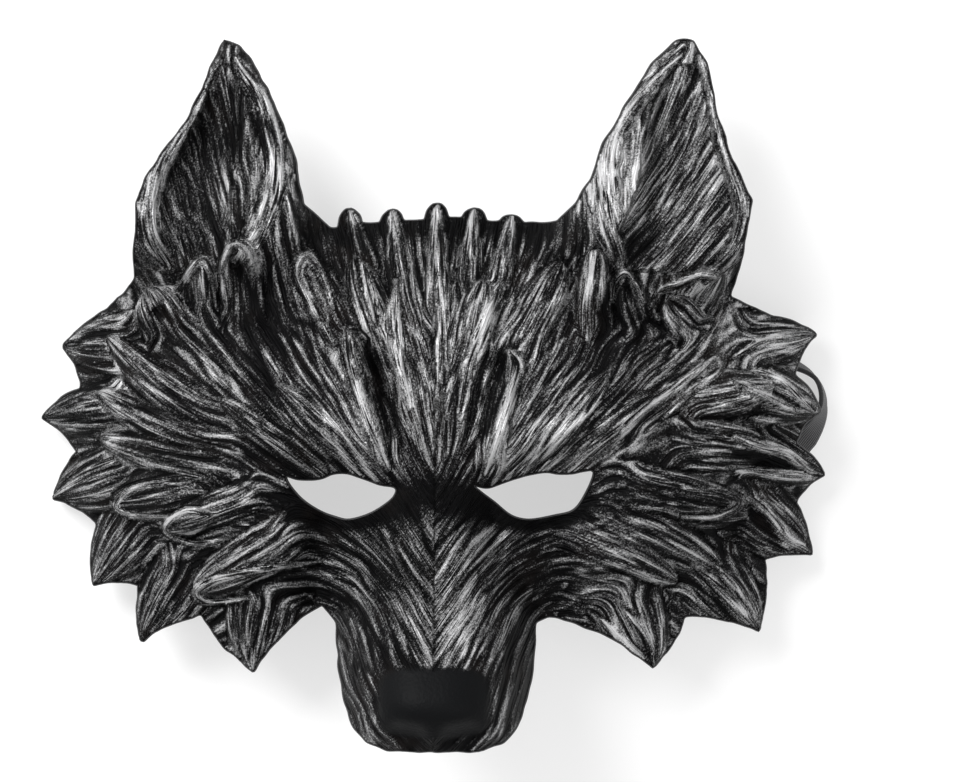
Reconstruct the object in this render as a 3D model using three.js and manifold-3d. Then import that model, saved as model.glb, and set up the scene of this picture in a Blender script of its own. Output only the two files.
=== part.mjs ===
// A moulded half mask of a wolf-like beast, lying face up on its cheek tufts, with its elastic strap.
// Millimetres. Seen from the front, +X is to the right. +Y runs from the lip to the ears, and +Z is the
// way the face looks. The origin is under the middle of the mask.
import * as THREE from 'three';
import { mergeVertices } from 'three/addons/utils/BufferGeometryUtils.js';
import Module from 'manifold-3d';

// Driving sizes of the moulding
const HALF_WIDTH = 133; // middle of the face to the tip of a cheek tuft
const FACE_HEIGHT = 230; // lip to ear tips
const FACE_DEPTH = 100; // back rim to the front of the nose
const WALL = 3.5; // thickness of the moulded foam
const SIDE_CURVE = 2.4; // how boxy the face is across, as a power

// Eye holes
const EYE_SPACING = 62.5;
const EYE_WIDTH = 36;
const EYE_OPENING = 14.5;
const SOCKET_DEPTH = 7;
const SOCKET_REACH = { across: 0.62, up: 0.95 }; // shares of EYE_WIDTH and EYE_OPENING

// Muzzle and nose
const MUZZLE_HALF_WIDTH = 33;
const MUZZLE_CURVE = 2.7; // how boxy the muzzle is across, as a power
const MUZZLE_BLEND = 9; // how softly the muzzle runs into the face
const NOSE_WIDTH = 34;
const NOSE_LENGTH = 22;
const NOSE_RELIEF = 2.5;
const NOSE_UP = -0.282; // the pad's middle, as a share of FACE_HEIGHT
const NOSE_CORNER = 4; // how square the pad is, as a power
const NOSE_EDGE = { from: 0.7, to: 1.4 }; // where the pad's edge falls, 1 being its outline

// Ears
const EAR_HOLLOW_DEPTH = 10;
const EAR_EDGE_ROLL = 4;
const EAR_BASE = { from: 0.27, to: 0.345 }; // where the ear takes over from the face, as up
const EAR_INNER_EDGE = { from: -1.35, to: -0.8 }; // the same across the ear, -1 being its inner edge
const EAR_HOLLOW_BASE = { from: 0.3, to: 0.35 }; // where the hollow starts, as up
const EAR_HOLLOW_TIP = { from: 0.5, to: 0.64 }; // where it runs out

// Fur
const TUFT_RISE = 7;
const CHEEK_LOCK_RISE = 8.5;
const BROW_LOCK_RISE = 6.5;
const CREST_LOCK_RISE = 5.5;
const TUFT_BOW = 0.07; // how far a tuft's edge bows out, as a share of its length
const LOCK_START = -0.15; // where a lock begins to rise, along the line from its root to its tip
const LOCK_FULL = 0.6; // where it reaches its full rise
const LOCK_CROWN = 0.6; // how round a lock is across, as a power
const LOCK_POINT = { along: 2.6, across: 0.7 }; // how a lock narrows to its tip, as powers

// Strap and the pads that hold it
const STRAP_WIDTH = 12.5;
const STRAP_THICKNESS = 1.5;
const STRAP_STEPS = 80;
const STRAP_TAB_LENGTH = 15;
const STRAP_TAB_THICKNESS = 1.95;
const STRAP_TRIM_REACH = 1.4; // the strap is trimmed under a pad this many times the pad's size
const PATCH_LENGTH = 26;
const PATCH_WIDTH = 22;
const PATCH_THICKNESS = 1.6;
const CLEARANCE = 0.5; // gap between pieces, measured along Z on the sloping wall
const STRAP_FLOOR_GAP = 0.3; // the strap's lower edge stays this far above the tufts' feet

// Fineness of the faceted surfaces
const OUTER_CELL = 4.2;
const INNER_CELL = 5.6;

// Colours and finish
const FOAM_COLOUR = 0x2a2a2b;
const STRAP_COLOUR = 0x242427;
const PATCH_COLOUR = 0x1c1c1e;

// Rows from the lip up. up is a share of FACE_HEIGHT from the eye line, rise a share of FACE_DEPTH, and
// span, a share of HALF_WIDTH, is how far out the face meets the back plane.
const FACE_ROWS = [
  { up: -0.37, rise: 0.22, span: 0.99 },
  { up: -0.26, rise: 0.32, span: 0.98 },
  { up: -0.196, rise: 0.4, span: 0.97 },
  { up: -0.109, rise: 0.52, span: 0.968 },
  { up: 0, rise: 0.6, span: 0.995 },
  { up: 0.109, rise: 0.65, span: 1.015 },
  { up: 0.217, rise: 0.61, span: 0.975 },
  { up: 0.326, rise: 0.5, span: 1 },
  { up: 0.413, rise: 0.38, span: 1.02 },
];

// top and edge are shares of FACE_DEPTH, half is a share of MUZZLE_HALF_WIDTH.
const MUZZLE_ROWS = [
  { up: -0.352, top: 0.86, half: 0.5, edge: 0.8 },
  { up: -0.328, top: 0.94, half: 0.76, edge: 0.74 },
  { up: -0.287, top: 1, half: 0.9, edge: 0.62 },
  { up: -0.239, top: 0.955, half: 0.97, edge: 0.52 },
  { up: -0.187, top: 0.88, half: 1, edge: 0.42 },
  { up: -0.13, top: 0.8, half: 0.84, edge: 0.46 },
  { up: -0.065, top: 0.735, half: 0.56, edge: 0.54 },
  { up: 0, top: 0.68, half: 0.4, edge: 0.58 },
  { up: 0.065, top: 0.62, half: 0.3, edge: 0.58 },
  { up: 0.2, top: 0.4, half: 0.3, edge: 0.36 },
];

// The lip's outline below the muzzle's sides: half is a share of MUZZLE_HALF_WIDTH.
const LIP_ROWS = [
  { up: -0.187, half: 0.99 },
  { up: -0.25, half: 0.95 },
  { up: -0.292, half: 0.88 },
  { up: -0.324, half: 0.79 },
  { up: -0.343, half: 0.66 },
  { up: -0.351, half: 0.46 },
];

// inner and outer are the ear's edges as shares of HALF_WIDTH, height is its plane's share of FACE_DEPTH.
const EARS = {
  left: {
    side: -1,
    hollow: { middle: 0.34, half: 0.52 },
    rows: [
      { up: 0.305, inner: 0.34, outer: 0.747, height: 0.53 },
      { up: 0.37, inner: 0.325, outer: 0.734, height: 0.56 },
      { up: 0.41, inner: 0.33, outer: 0.734, height: 0.55 },
      { up: 0.446, inner: 0.34, outer: 0.714, height: 0.53 },
      { up: 0.48, inner: 0.353, outer: 0.678, height: 0.51 },
      { up: 0.526, inner: 0.383, outer: 0.619, height: 0.48 },
      { up: 0.577, inner: 0.422, outer: 0.578, height: 0.44 },
      { up: 0.624, inner: 0.467, outer: 0.551, height: 0.4 },
      { up: 0.648, inner: 0.5, outer: 0.534, height: 0.38 },
    ],
  },
  right: {
    side: 1,
    hollow: { middle: 0.24, half: 0.66 },
    rows: [
      { up: 0.28, inner: 0.3, outer: 0.736, height: 0.52 },
      { up: 0.36, inner: 0.305, outer: 0.757, height: 0.56 },
      { up: 0.414, inner: 0.347, outer: 0.775, height: 0.55 },
      { up: 0.445, inner: 0.382, outer: 0.748, height: 0.53 },
      { up: 0.497, inner: 0.412, outer: 0.715, height: 0.5 },
      { up: 0.538, inner: 0.454, outer: 0.69, height: 0.47 },
      { up: 0.58, inner: 0.499, outer: 0.683, height: 0.43 },
      { up: 0.615, inner: 0.537, outer: 0.671, height: 0.4 },
      { up: 0.648, inner: 0.595, outer: 0.64, height: 0.38 },
    ],
  },
};

// Cheek tufts of the edge, from the ear down to the muzzle. root, tip and notch (where the tuft's lower
// edge ends) are shares of HALF_WIDTH and FACE_HEIGHT, and half is the tuft's half breadth as a share of
// HALF_WIDTH.
const EDGE_TUFTS = {
  left: [
    { root: [-0.743, 0.212], tip: [-0.959, 0.209], notch: [-0.904, 0.148], half: 0.085 },
    { root: [-0.756, 0.13], tip: [-1.014, 0.103], notch: [-0.916, 0.054], half: 0.085 },
    { root: [-0.733, 0.032], tip: [-0.986, -0.015], notch: [-0.865, -0.051], half: 0.09 },
    { root: [-0.718, -0.022], tip: [-0.873, -0.142], notch: [-0.752, -0.139], half: 0.095 },
    { root: [-0.603, -0.1], tip: [-0.743, -0.222], notch: [-0.59, -0.18], half: 0.095 },
    { root: [-0.408, -0.135], tip: [-0.457, -0.262], notch: [-0.284, -0.162], half: 0.11 },
  ],
  right: [
    { root: [0.759, 0.212], tip: [0.964, 0.227], notch: [0.921, 0.18], half: 0.085 },
    { root: [0.771, 0.152], tip: [0.968, 0.119], notch: [0.898, 0.067], half: 0.09 },
    { root: [0.772, 0.072], tip: [0.988, 0.02], notch: [0.908, -0.021], half: 0.09 },
    { root: [0.759, -0.014], tip: [0.956, -0.098], notch: [0.828, -0.103], half: 0.1 },
    { root: [0.644, -0.1], tip: [0.814, -0.208], notch: [0.62, -0.184], half: 0.1 },
    { root: [0.455, -0.135], tip: [0.542, -0.258], notch: [0.277, -0.179], half: 0.105 },
  ],
};

// Corners between an ear's base and the first tuft.
const TEMPLE_CORNERS = {
  left: [-0.834, 0.262],
  right: [0.846, 0.251],
};

// Locks that lie on the face, tip outwards, with the same columns as the tufts.
const CHEEK_LOCKS = [
  { root: [-0.61, 0.199], tip: [-0.824, 0.205], half: 0.06 },
  { root: [-0.61, 0.152], tip: [-0.853, 0.139], half: 0.062 },
  { root: [-0.61, 0.088], tip: [-0.848, 0.075], half: 0.068 },
  { root: [-0.546, 0.019], tip: [-0.82, -0.017], half: 0.07 },
  { root: [-0.483, 0.003], tip: [-0.678, -0.052], half: 0.055 },
  { root: [-0.371, -0.054], tip: [-0.603, -0.142], half: 0.075 },
  { root: [0.477, 0.101], tip: [0.706, 0.184], half: 0.06 },
  { root: [0.603, 0.128], tip: [0.832, 0.151], half: 0.062 },
  { root: [0.578, 0.073], tip: [0.834, 0.055], half: 0.068 },
  { root: [0.527, 0.017], tip: [0.782, -0.033], half: 0.07 },
  { root: [0.49, -0.026], tip: [0.715, -0.119], half: 0.065 },
  { root: [0.398, -0.043], tip: [0.569, -0.144], half: 0.07 },
  { root: [-0.653, 0.223], tip: [-0.716, 0.291], half: 0.075 },
  { root: [-0.581, 0.252], tip: [-0.577, 0.331], half: 0.05 },
  { root: [-0.473, 0.237], tip: [-0.488, 0.351], half: 0.06 },
  { root: [0.383, 0.237], tip: [0.391, 0.343], half: 0.05 },
  { root: [0.513, 0.223], tip: [0.47, 0.298], half: 0.05 },
  { root: [0.651, 0.223], tip: [0.57, 0.273], half: 0.06 },
  { root: [0.626, 0.259], tip: [0.698, 0.318], half: 0.05 },
];
const BROW_LOCKS = [
  { root: [-0.101, 0.028], tip: [-0.209, 0.227], half: 0.06 },
  { root: [0.125, 0.022], tip: [0.178, 0.201], half: 0.06 },
  { root: [-0.218, 0.054], tip: [-0.391, 0.152], half: 0.06 },
  { root: [0.253, 0.054], tip: [0.42, 0.17], half: 0.06 },
  { root: [-0.33, 0.046], tip: [-0.525, 0.131], half: 0.055 },
  { root: [0.364, 0.06], tip: [0.537, 0.138], half: 0.055 },
];
const CREST_LOCKS = [
  { root: [-0.208, 0.201], tip: [-0.322, 0.334], half: 0.055 },
  { root: [-0.122, 0.208], tip: [-0.201, 0.332], half: 0.055 },
  { root: [0.084, 0.201], tip: [0.118, 0.301], half: 0.05 },
  { root: [0.205, 0.208], tip: [0.309, 0.327], half: 0.055 },
];

// Five small tips stand over the top rim, from right to left, each with the rim's corner after it.
const CREST_START = [0.3, 0.384];
const CREST_TIPS = [
  { root: [0.145, 0.272], tip: [0.187, 0.396], rim: [0.145, 0.386], half: 0.045 },
  { root: [0.079, 0.272], tip: [0.093, 0.406], rim: [0.051, 0.391], half: 0.045 },
  { root: [0.004, 0.229], tip: [0.001, 0.413], rim: [-0.061, 0.387], half: 0.05 },
  { root: [-0.074, 0.272], tip: [-0.11, 0.404], rim: [-0.17, 0.384], half: 0.045 },
  { root: [-0.155, 0.272], tip: [-0.215, 0.406], rim: [-0.264, 0.377], half: 0.045 },
];

// Soft ridges and hollows on both sides of the face, from one place to another. half is a share of
// HALF_WIDTH and rise a share of FACE_DEPTH, below nought for a hollow.
const MODELLING = [
  { name: 'brow ridge', from: [0.11, 0.05], to: [0.45, 0.115], half: 0.08, rise: 0.07 },
  { name: 'cheek bone', from: [0.4, -0.07], to: [0.64, 0], half: 0.12, rise: 0.05 },
  { name: 'fold beside the muzzle', from: [0.27, -0.05], to: [0.3, -0.15], half: 0.055, rise: -0.07 },
  { name: 'groove inside the brow', from: [0.085, 0.06], to: [0.15, 0.17], half: 0.03, rise: -0.05 },
  { name: 'temple hollow', from: [0.42, 0.2], to: [0.6, 0.19], half: 0.1, rise: -0.03 },
];
// The right edge arches over the strap, whose loop comes out there.
const STRAP_ARCH = { from: [0.83, 0.145], to: [0.98, 0.135], half: 0.125, rise: 0.165 };
const NOSTRIL = { from: [0.05, -0.328], to: [0.085, -0.325], half: 0.028, rise: -0.05 };

// One eye hole about its middle, from the outer corner along the upper lid: shares of EYE_WIDTH and
// EYE_OPENING, with across growing towards the nose.
const EYE_OUTLINE = [
  [-0.5, 0.36],
  [-0.25, 0.33],
  [-0.08, 0.48],
  [0.12, 0.44],
  [0.5, 0.14],
  [0.46, -0.02],
  [0.3, -0.34],
  [0.05, -0.5],
  [-0.12, -0.45],
  [-0.29, -0.24],
];
// The two eye holes differ a little: width is a share of EYE_WIDTH.
const EYES = [
  { side: -1, width: 0.96 },
  { side: 1, width: 1.04 },
];

// The strap's route between the two pads. across and up are shares of HALF_WIDTH and FACE_HEIGHT, lift is
// how high its lower edge is, as a share of FACE_DEPTH, and turn how far it stands on edge, in degrees.
const STRAP_ROUTE = [
  { across: -0.7, up: 0.098, lift: 0.27, turn: 20 },
  { across: -0.77, up: 0.085, lift: 0.13, turn: 50 },
  { across: -0.8, up: 0.055, lift: 0.03, turn: 80 },
  { across: -0.76, up: 0.018, lift: 0, turn: 90 },
  { across: -0.64, up: 0.008, lift: 0, turn: 90 },
  { across: -0.4, up: 0.044, lift: 0, turn: 90 },
  { across: 0, up: 0.055, lift: 0, turn: 90 },
  { across: 0.4, up: 0.048, lift: 0, turn: 90 },
  { across: 0.68, up: 0.02, lift: 0, turn: 80 },
  { across: 0.86, up: 0.035, lift: 0, turn: 62 },
  { across: 0.942, up: 0.075, lift: 0, turn: 56 },
  { across: 0.974, up: 0.122, lift: 0, turn: 72 },
  { across: 0.955, up: 0.163, lift: 0, turn: 84 },
  { across: 0.89, up: 0.186, lift: 0.01, turn: 74 },
  { across: 0.8, up: 0.184, lift: 0.1, turn: 50 },
  { across: 0.725, up: 0.174, lift: 0.225, turn: 18 },
];
const PADS = {
  left: { across: -0.62, up: 0.105 },
  right: { across: 0.64, up: 0.165 },
};

const wasm = await Module();
wasm.setup();

const part = new THREE.Group();
part.name = 'wolf_mask';

function step(low, high, value) {
  return THREE.MathUtils.smoothstep(value, low, high);
}

function softMax(a, b, blend) {
  const near = Math.max(blend - Math.abs(a - b), 0) / blend;
  return Math.max(a, b) + near * near * blend * 0.25;
}

// A smooth curve through one column of a table whose rows are sorted by up.
function readRow(rows, up, column) {
  let low = 0;
  while (low < rows.length - 2 && up > rows[low + 1].up) low += 1;
  const slope = (index) => {
    const before = rows[Math.max(index - 1, 0)];
    const after = rows[Math.min(index + 1, rows.length - 1)];
    return (after[column] - before[column]) / (after.up - before.up);
  };
  const from = rows[low];
  const to = rows[low + 1];
  const span = to.up - from.up;
  const t = THREE.MathUtils.clamp((up - from.up) / span, 0, 1);
  const t2 = t * t;
  const t3 = t2 * t;
  return (2 * t3 - 3 * t2 + 1) * from[column] + (t3 - 2 * t2 + t) * span * slope(low)
    + (3 * t2 - 2 * t3) * to[column] + (t3 - t2) * span * slope(low + 1);
}

// How far a place lies along and beside the line between two places given as shares.
function besideLine(x, y, from, to) {
  const startX = from[0] * HALF_WIDTH;
  const startY = from[1] * FACE_HEIGHT;
  const runX = to[0] * HALF_WIDTH - startX;
  const runY = to[1] * FACE_HEIGHT - startY;
  const length = Math.hypot(runX, runY);
  const along = ((x - startX) * runX + (y - startY) * runY) / (length * length);
  const beside = ((y - startY) * runX - (x - startX) * runY) / length;
  return { along, beside, length };
}

// A lock swells from its root, stays round across, and ends in a point.
function lockHeight(x, y, lock, rise) {
  const place = besideLine(x, y, lock.root, lock.tip);
  if (place.along <= LOCK_START || place.along >= 1) return 0;
  const taper = (1 - Math.max(place.along, 0) ** LOCK_POINT.along) ** LOCK_POINT.across;
  const half = lock.half * HALF_WIDTH * taper;
  const across = Math.abs(place.beside) / half;
  if (across >= 1) return 0;
  return rise * step(LOCK_START, LOCK_FULL, place.along) * (1 - across * across) ** LOCK_CROWN;
}

function ridgeHeight(x, y, ridge) {
  const place = besideLine(x, y, ridge.from, ridge.to);
  const past = (place.along - THREE.MathUtils.clamp(place.along, 0, 1)) * place.length;
  const away = Math.hypot(past, place.beside) / (ridge.half * HALF_WIDTH);
  return ridge.rise * FACE_DEPTH * Math.exp(-away * away);
}

const eyeMiddle = (eye) => eye.side * EYE_SPACING / 2;

function socketHeight(x, y) {
  let height = 0;
  for (const eye of EYES) {
    const across = (x - eyeMiddle(eye)) / (EYE_WIDTH * SOCKET_REACH.across);
    const up = y / (EYE_OPENING * SOCKET_REACH.up);
    height -= SOCKET_DEPTH * Math.exp(-across * across - up * up);
  }
  return height;
}

function muzzleHeight(x, y) {
  const up = y / FACE_HEIGHT;
  const top = readRow(MUZZLE_ROWS, up, 'top') * FACE_DEPTH;
  const edge = readRow(MUZZLE_ROWS, up, 'edge') * FACE_DEPTH;
  const half = readRow(MUZZLE_ROWS, up, 'half') * MUZZLE_HALF_WIDTH;
  return top - (top - edge) * (Math.abs(x) / half) ** MUZZLE_CURVE;
}

// The nose pad is a raised rectangle with round corners on the front of the muzzle.
function noseHeight(x, y) {
  const across = Math.abs(x) / (NOSE_WIDTH / 2);
  const up = Math.abs(y - NOSE_UP * FACE_HEIGHT) / (NOSE_LENGTH / 2);
  const out = across ** NOSE_CORNER + up ** NOSE_CORNER;
  return NOSE_RELIEF * (1 - step(NOSE_EDGE.from, NOSE_EDGE.to, out));
}

// The ear's own surface, and how much of it counts at a place.
function earHeight(x, y, ear) {
  const up = y / FACE_HEIGHT;
  const inner = readRow(ear.rows, up, 'inner') * HALF_WIDTH;
  const outer = readRow(ear.rows, up, 'outer') * HALF_WIDTH;
  const across = (x * ear.side - (inner + outer) / 2) / ((outer - inner) / 2);
  const intoHollow = Math.abs(across - ear.hollow.middle) / ear.hollow.half;
  const hollowAcross = intoHollow < 1 ? (1 - intoHollow ** 3) ** 1.5 : 0;
  const hollowAlong = step(EAR_HOLLOW_BASE.from, EAR_HOLLOW_BASE.to, up)
    * (1 - step(EAR_HOLLOW_TIP.from, EAR_HOLLOW_TIP.to, up));
  const roll = EAR_EDGE_ROLL * Math.min(across * across, 4);
  const height = readRow(ear.rows, up, 'height') * FACE_DEPTH - roll
    - EAR_HOLLOW_DEPTH * hollowAcross * hollowAlong;
  const share = step(EAR_BASE.from, EAR_BASE.to, up)
    * step(EAR_INNER_EDGE.from, EAR_INNER_EDGE.to, across);
  return { height, share };
}

function furHeight(x, y) {
  let height = 0;
  const raise = (locks, rise) => {
    for (const lock of locks) height = Math.max(height, lockHeight(x, y, lock, rise));
  };
  raise(EDGE_TUFTS.left, TUFT_RISE);
  raise(EDGE_TUFTS.right, TUFT_RISE);
  raise(CHEEK_LOCKS, CHEEK_LOCK_RISE);
  raise(BROW_LOCKS, BROW_LOCK_RISE);
  raise(CREST_LOCKS, CREST_LOCK_RISE);
  raise(CREST_TIPS, CREST_LOCK_RISE);
  return height;
}

// Height of the moulding's front surface above the back plane.
function frontHeight(x, y) {
  const rise = readRow(FACE_ROWS, y / FACE_HEIGHT, 'rise') * FACE_DEPTH;
  const side = Math.abs(x) / (readRow(FACE_ROWS, y / FACE_HEIGHT, 'span') * HALF_WIDTH);
  let height = rise * (1 - side ** SIDE_CURVE) + socketHeight(x, y);
  for (const ridge of MODELLING) height += ridgeHeight(Math.abs(x), y, ridge);
  height = softMax(height, muzzleHeight(x, y), MUZZLE_BLEND);
  const ear = earHeight(x, y, x < 0 ? EARS.left : EARS.right);
  height = THREE.MathUtils.lerp(height, ear.height, ear.share);
  height += noseHeight(x, y) + ridgeHeight(Math.abs(x), y, NOSTRIL);
  return height + ridgeHeight(x, y, STRAP_ARCH) + furHeight(x, y);
}

// The back surface stays at least the wall away from the front one, as a ball rolled under it would.
const PROBE_RINGS = [0.6, 0.95];
const PROBE_DIRECTIONS = 8;
function backHeight(x, y) {
  let height = frontHeight(x, y) - WALL;
  for (const ring of PROBE_RINGS) {
    const reach = ring * WALL;
    const drop = Math.sqrt(WALL * WALL - reach * reach);
    for (let i = 0; i < PROBE_DIRECTIONS; i += 1) {
      const angle = (i / PROBE_DIRECTIONS) * Math.PI * 2;
      const probe = frontHeight(x + reach * Math.cos(angle), y + reach * Math.sin(angle));
      height = Math.min(height, probe - drop);
    }
  }
  return height;
}

function toSolid(geometry) {
  geometry.deleteAttribute('normal');
  geometry.deleteAttribute('uv');
  const merged = mergeVertices(geometry, 1e-4);
  return new wasm.Manifold(new wasm.Mesh({
    numProp: 3,
    vertProperties: new Float32Array(merged.attributes.position.array),
    triVerts: new Uint32Array(merged.index.array),
  }));
}

function toGeometry(solid) {
  const mesh = solid.getMesh();
  const geometry = new THREE.BufferGeometry();
  geometry.setAttribute('position', new THREE.BufferAttribute(mesh.vertProperties, 3));
  geometry.setIndex(new THREE.BufferAttribute(mesh.triVerts, 1));
  geometry.computeVertexNormals();
  return geometry;
}

// A block that fills everything under a surface, with the surface faceted in square cells.
const SPAN_X = HALF_WIDTH * 2.14;
const LOWEST_Y = -0.39 * FACE_HEIGHT;
const HIGHEST_Y = 0.69 * FACE_HEIGHT;
const BELOW = -0.5 * FACE_DEPTH;
function blockUnder(heightAt, cell, bottom) {
  const spanY = HIGHEST_Y - LOWEST_Y;
  const columns = Math.round(SPAN_X / cell);
  const rows = Math.round(spanY / cell);
  const geometry = new THREE.BoxGeometry(SPAN_X, spanY, 1, columns, rows, 1);
  geometry.translate(0, (LOWEST_Y + HIGHEST_Y) / 2, 0);
  const places = geometry.attributes.position;
  for (let i = 0; i < places.count; i += 1) {
    const isTop = places.getZ(i) > 0;
    const top = Math.max(heightAt(places.getX(i), places.getY(i)), bottom + 1);
    places.setZ(i, isTop ? top : bottom);
  }
  return toSolid(geometry);
}

// Draws a bowed edge to a place given as shares; bow above nought swells out of the outline.
function bowTo(shape, place, bow) {
  const start = shape.currentPoint;
  const endX = place[0] * HALF_WIDTH;
  const endY = place[1] * FACE_HEIGHT;
  const controlX = (start.x + endX) / 2 + (endY - start.y) * bow * 2;
  const controlY = (start.y + endY) / 2 - (endX - start.x) * bow * 2;
  shape.quadraticCurveTo(controlX, controlY, endX, endY);
}

function maskOutline() {
  const shape = new THREE.Shape();
  const line = (across, up) => shape.lineTo(across * HALF_WIDTH, up * FACE_HEIGHT);
  shape.moveTo(CREST_START[0] * HALF_WIDTH, CREST_START[1] * FACE_HEIGHT);
  for (const crest of CREST_TIPS) {
    bowTo(shape, crest.tip, TUFT_BOW);
    bowTo(shape, crest.rim, TUFT_BOW);
  }
  const { left, right } = EARS;
  const innerRows = (ear) => ear.rows.filter((row) => row.up > CREST_START[1]);
  for (const row of innerRows(left)) line(-row.inner, row.up);
  for (const row of [...left.rows].reverse()) line(-row.outer, row.up);
  bowTo(shape, TEMPLE_CORNERS.left, 0);
  for (const tuft of EDGE_TUFTS.left) {
    bowTo(shape, tuft.tip, TUFT_BOW);
    bowTo(shape, tuft.notch, -TUFT_BOW);
  }
  const muzzle = MUZZLE_HALF_WIDTH / HALF_WIDTH;
  for (const row of LIP_ROWS) line(-row.half * muzzle, row.up);
  for (const row of [...LIP_ROWS].reverse()) line(row.half * muzzle, row.up);
  const upwards = [...EDGE_TUFTS.right].reverse();
  for (const tuft of upwards) {
    bowTo(shape, tuft.notch, tuft === upwards[0] ? 0 : TUFT_BOW);
    bowTo(shape, tuft.tip, -TUFT_BOW);
  }
  bowTo(shape, TEMPLE_CORNERS.right, TUFT_BOW);
  for (const row of right.rows) line(row.outer, row.up);
  for (const row of innerRows(right).reverse()) line(row.inner, row.up);
  shape.closePath();
  return shape;
}

function upright(shape, low, high, curveSegments) {
  const geometry = new THREE.ExtrudeGeometry(shape, {
    depth: high - low,
    bevelEnabled: false,
    curveSegments,
  });
  geometry.translate(0, 0, low);
  return toSolid(geometry);
}

function eyeShape(eye) {
  const place = ([across, up]) => new THREE.Vector2(
    eyeMiddle(eye) - eye.side * across * EYE_WIDTH * eye.width,
    up * EYE_OPENING,
  );
  const points = EYE_OUTLINE.map(place);
  return new THREE.Shape(eye.side > 0 ? points : points.reverse());
}

function boxShape(middleX, middleY, width, length) {
  const shape = new THREE.Shape();
  shape.moveTo(middleX - width / 2, middleY - length / 2);
  shape.lineTo(middleX + width / 2, middleY - length / 2);
  shape.lineTo(middleX + width / 2, middleY + length / 2);
  shape.lineTo(middleX - width / 2, middleY + length / 2);
  shape.closePath();
  return shape;
}

// Everything at least drop below the moulding's back surface.
function roomUnder(drop) {
  return blockUnder((x, y) => backHeight(x, y) - drop, INNER_CELL, BELOW - drop - 1);
}

const CEILING = FACE_DEPTH * 1.2;

function maskShell() {
  const front = blockUnder(frontHeight, OUTER_CELL, BELOW);
  const outline = upright(maskOutline(), 0, CEILING, 3);
  let shell = front.subtract(roomUnder(0)).intersect(outline);
  for (const eye of EYES) shell = shell.subtract(upright(eyeShape(eye), -1, CEILING, 1));
  return shell;
}

// A sheet that hugs the back surface over a rectangle.
function wallSheet(pad, drop, thickness, width, length) {
  const shape = boxShape(pad.across * HALF_WIDTH, pad.up * FACE_HEIGHT, width, length);
  return roomUnder(drop).subtract(roomUnder(drop + thickness)).intersect(upright(shape, 0, CEILING, 1));
}

const STRAP_DROP = CLEARANCE + PATCH_THICKNESS + CLEARANCE;

function padPoint(pad) {
  const x = pad.across * HALF_WIDTH;
  const y = pad.up * FACE_HEIGHT;
  return new THREE.Vector3(x, y, backHeight(x, y) - STRAP_DROP - STRAP_THICKNESS);
}

function routePoint(row) {
  const turn = THREE.MathUtils.degToRad(row.turn);
  const half = (STRAP_WIDTH * Math.sin(turn) + STRAP_THICKNESS * Math.cos(turn)) / 2;
  return new THREE.Vector3(
    row.across * HALF_WIDTH,
    row.up * FACE_HEIGHT,
    row.lift * FACE_DEPTH + half + STRAP_FLOOR_GAP,
  );
}

function strapPoints() {
  return [padPoint(PADS.left), ...STRAP_ROUTE.map(routePoint), padPoint(PADS.right)];
}

// The band is a flat box bent along its route, with its breadth turned from level to upright.
function strapSolid() {
  const curve = new THREE.CatmullRomCurve3(strapPoints());
  const turns = [0, ...STRAP_ROUTE.map((row) => row.turn), 0];
  const geometry = new THREE.BoxGeometry(1, STRAP_WIDTH, STRAP_THICKNESS, STRAP_STEPS, 1, 1);
  const places = geometry.attributes.position;
  const up = new THREE.Vector3(0, 0, 1);
  for (let i = 0; i < places.count; i += 1) {
    const t = THREE.MathUtils.clamp(places.getX(i) + 0.5, 0, 1);
    const rowPlace = t * (turns.length - 1);
    const row = Math.min(Math.floor(rowPlace), turns.length - 2);
    const turn = THREE.MathUtils.lerp(turns[row], turns[row + 1], rowPlace - row);
    const ahead = curve.getTangent(t);
    const level = new THREE.Vector3().crossVectors(up, ahead).normalize();
    const normal = new THREE.Vector3().crossVectors(ahead, level);
    const angle = THREE.MathUtils.degToRad(turn);
    const breadth = level.clone().multiplyScalar(Math.cos(angle)).addScaledVector(normal, Math.sin(angle));
    const face = new THREE.Vector3().crossVectors(ahead, breadth);
    const place = curve.getPoint(t)
      .addScaledVector(breadth, places.getY(i))
      .addScaledVector(face, places.getZ(i));
    places.setXYZ(i, place.x, place.y, place.z);
  }
  return toSolid(geometry);
}

function elasticStrap() {
  let strap = strapSolid();
  for (const pad of [PADS.left, PADS.right]) {
    const x = pad.across * HALF_WIDTH;
    const y = pad.up * FACE_HEIGHT;
    const reach = boxShape(x, y, PATCH_LENGTH * STRAP_TRIM_REACH, PATCH_WIDTH * STRAP_TRIM_REACH);
    const tooHigh = upright(reach, 0, CEILING, 1).subtract(roomUnder(STRAP_DROP));
    strap = strap.subtract(tooHigh);
    strap = strap.add(wallSheet(pad, STRAP_DROP, STRAP_TAB_THICKNESS, STRAP_TAB_LENGTH, STRAP_WIDTH));
  }
  return strap;
}

function addPiece(name, solid, colour, roughness) {
  const material = new THREE.MeshStandardMaterial({ color: colour, roughness, metalness: 0 });
  const mesh = new THREE.Mesh(toGeometry(solid), material);
  mesh.name = name;
  part.add(mesh);
}

addPiece('mask_shell', maskShell(), FOAM_COLOUR, 0.6);
addPiece('elastic_strap', elasticStrap(), STRAP_COLOUR, 0.9);
for (const [side, pad] of Object.entries(PADS)) {
  const patch = wallSheet(pad, CLEARANCE, PATCH_THICKNESS, PATCH_LENGTH, PATCH_WIDTH);
  addPiece(`strap_patch_${side}`, patch, PATCH_COLOUR, 0.95);
}

// Put the origin under the middle of the whole mask, on the surface that it rests on.
const bounds = new THREE.Box3().setFromObject(part);
const middle = bounds.getCenter(new THREE.Vector3());
for (const mesh of part.children) mesh.position.set(-middle.x, -middle.y, -bounds.min.z);

export default part;
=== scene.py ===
import math

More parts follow.
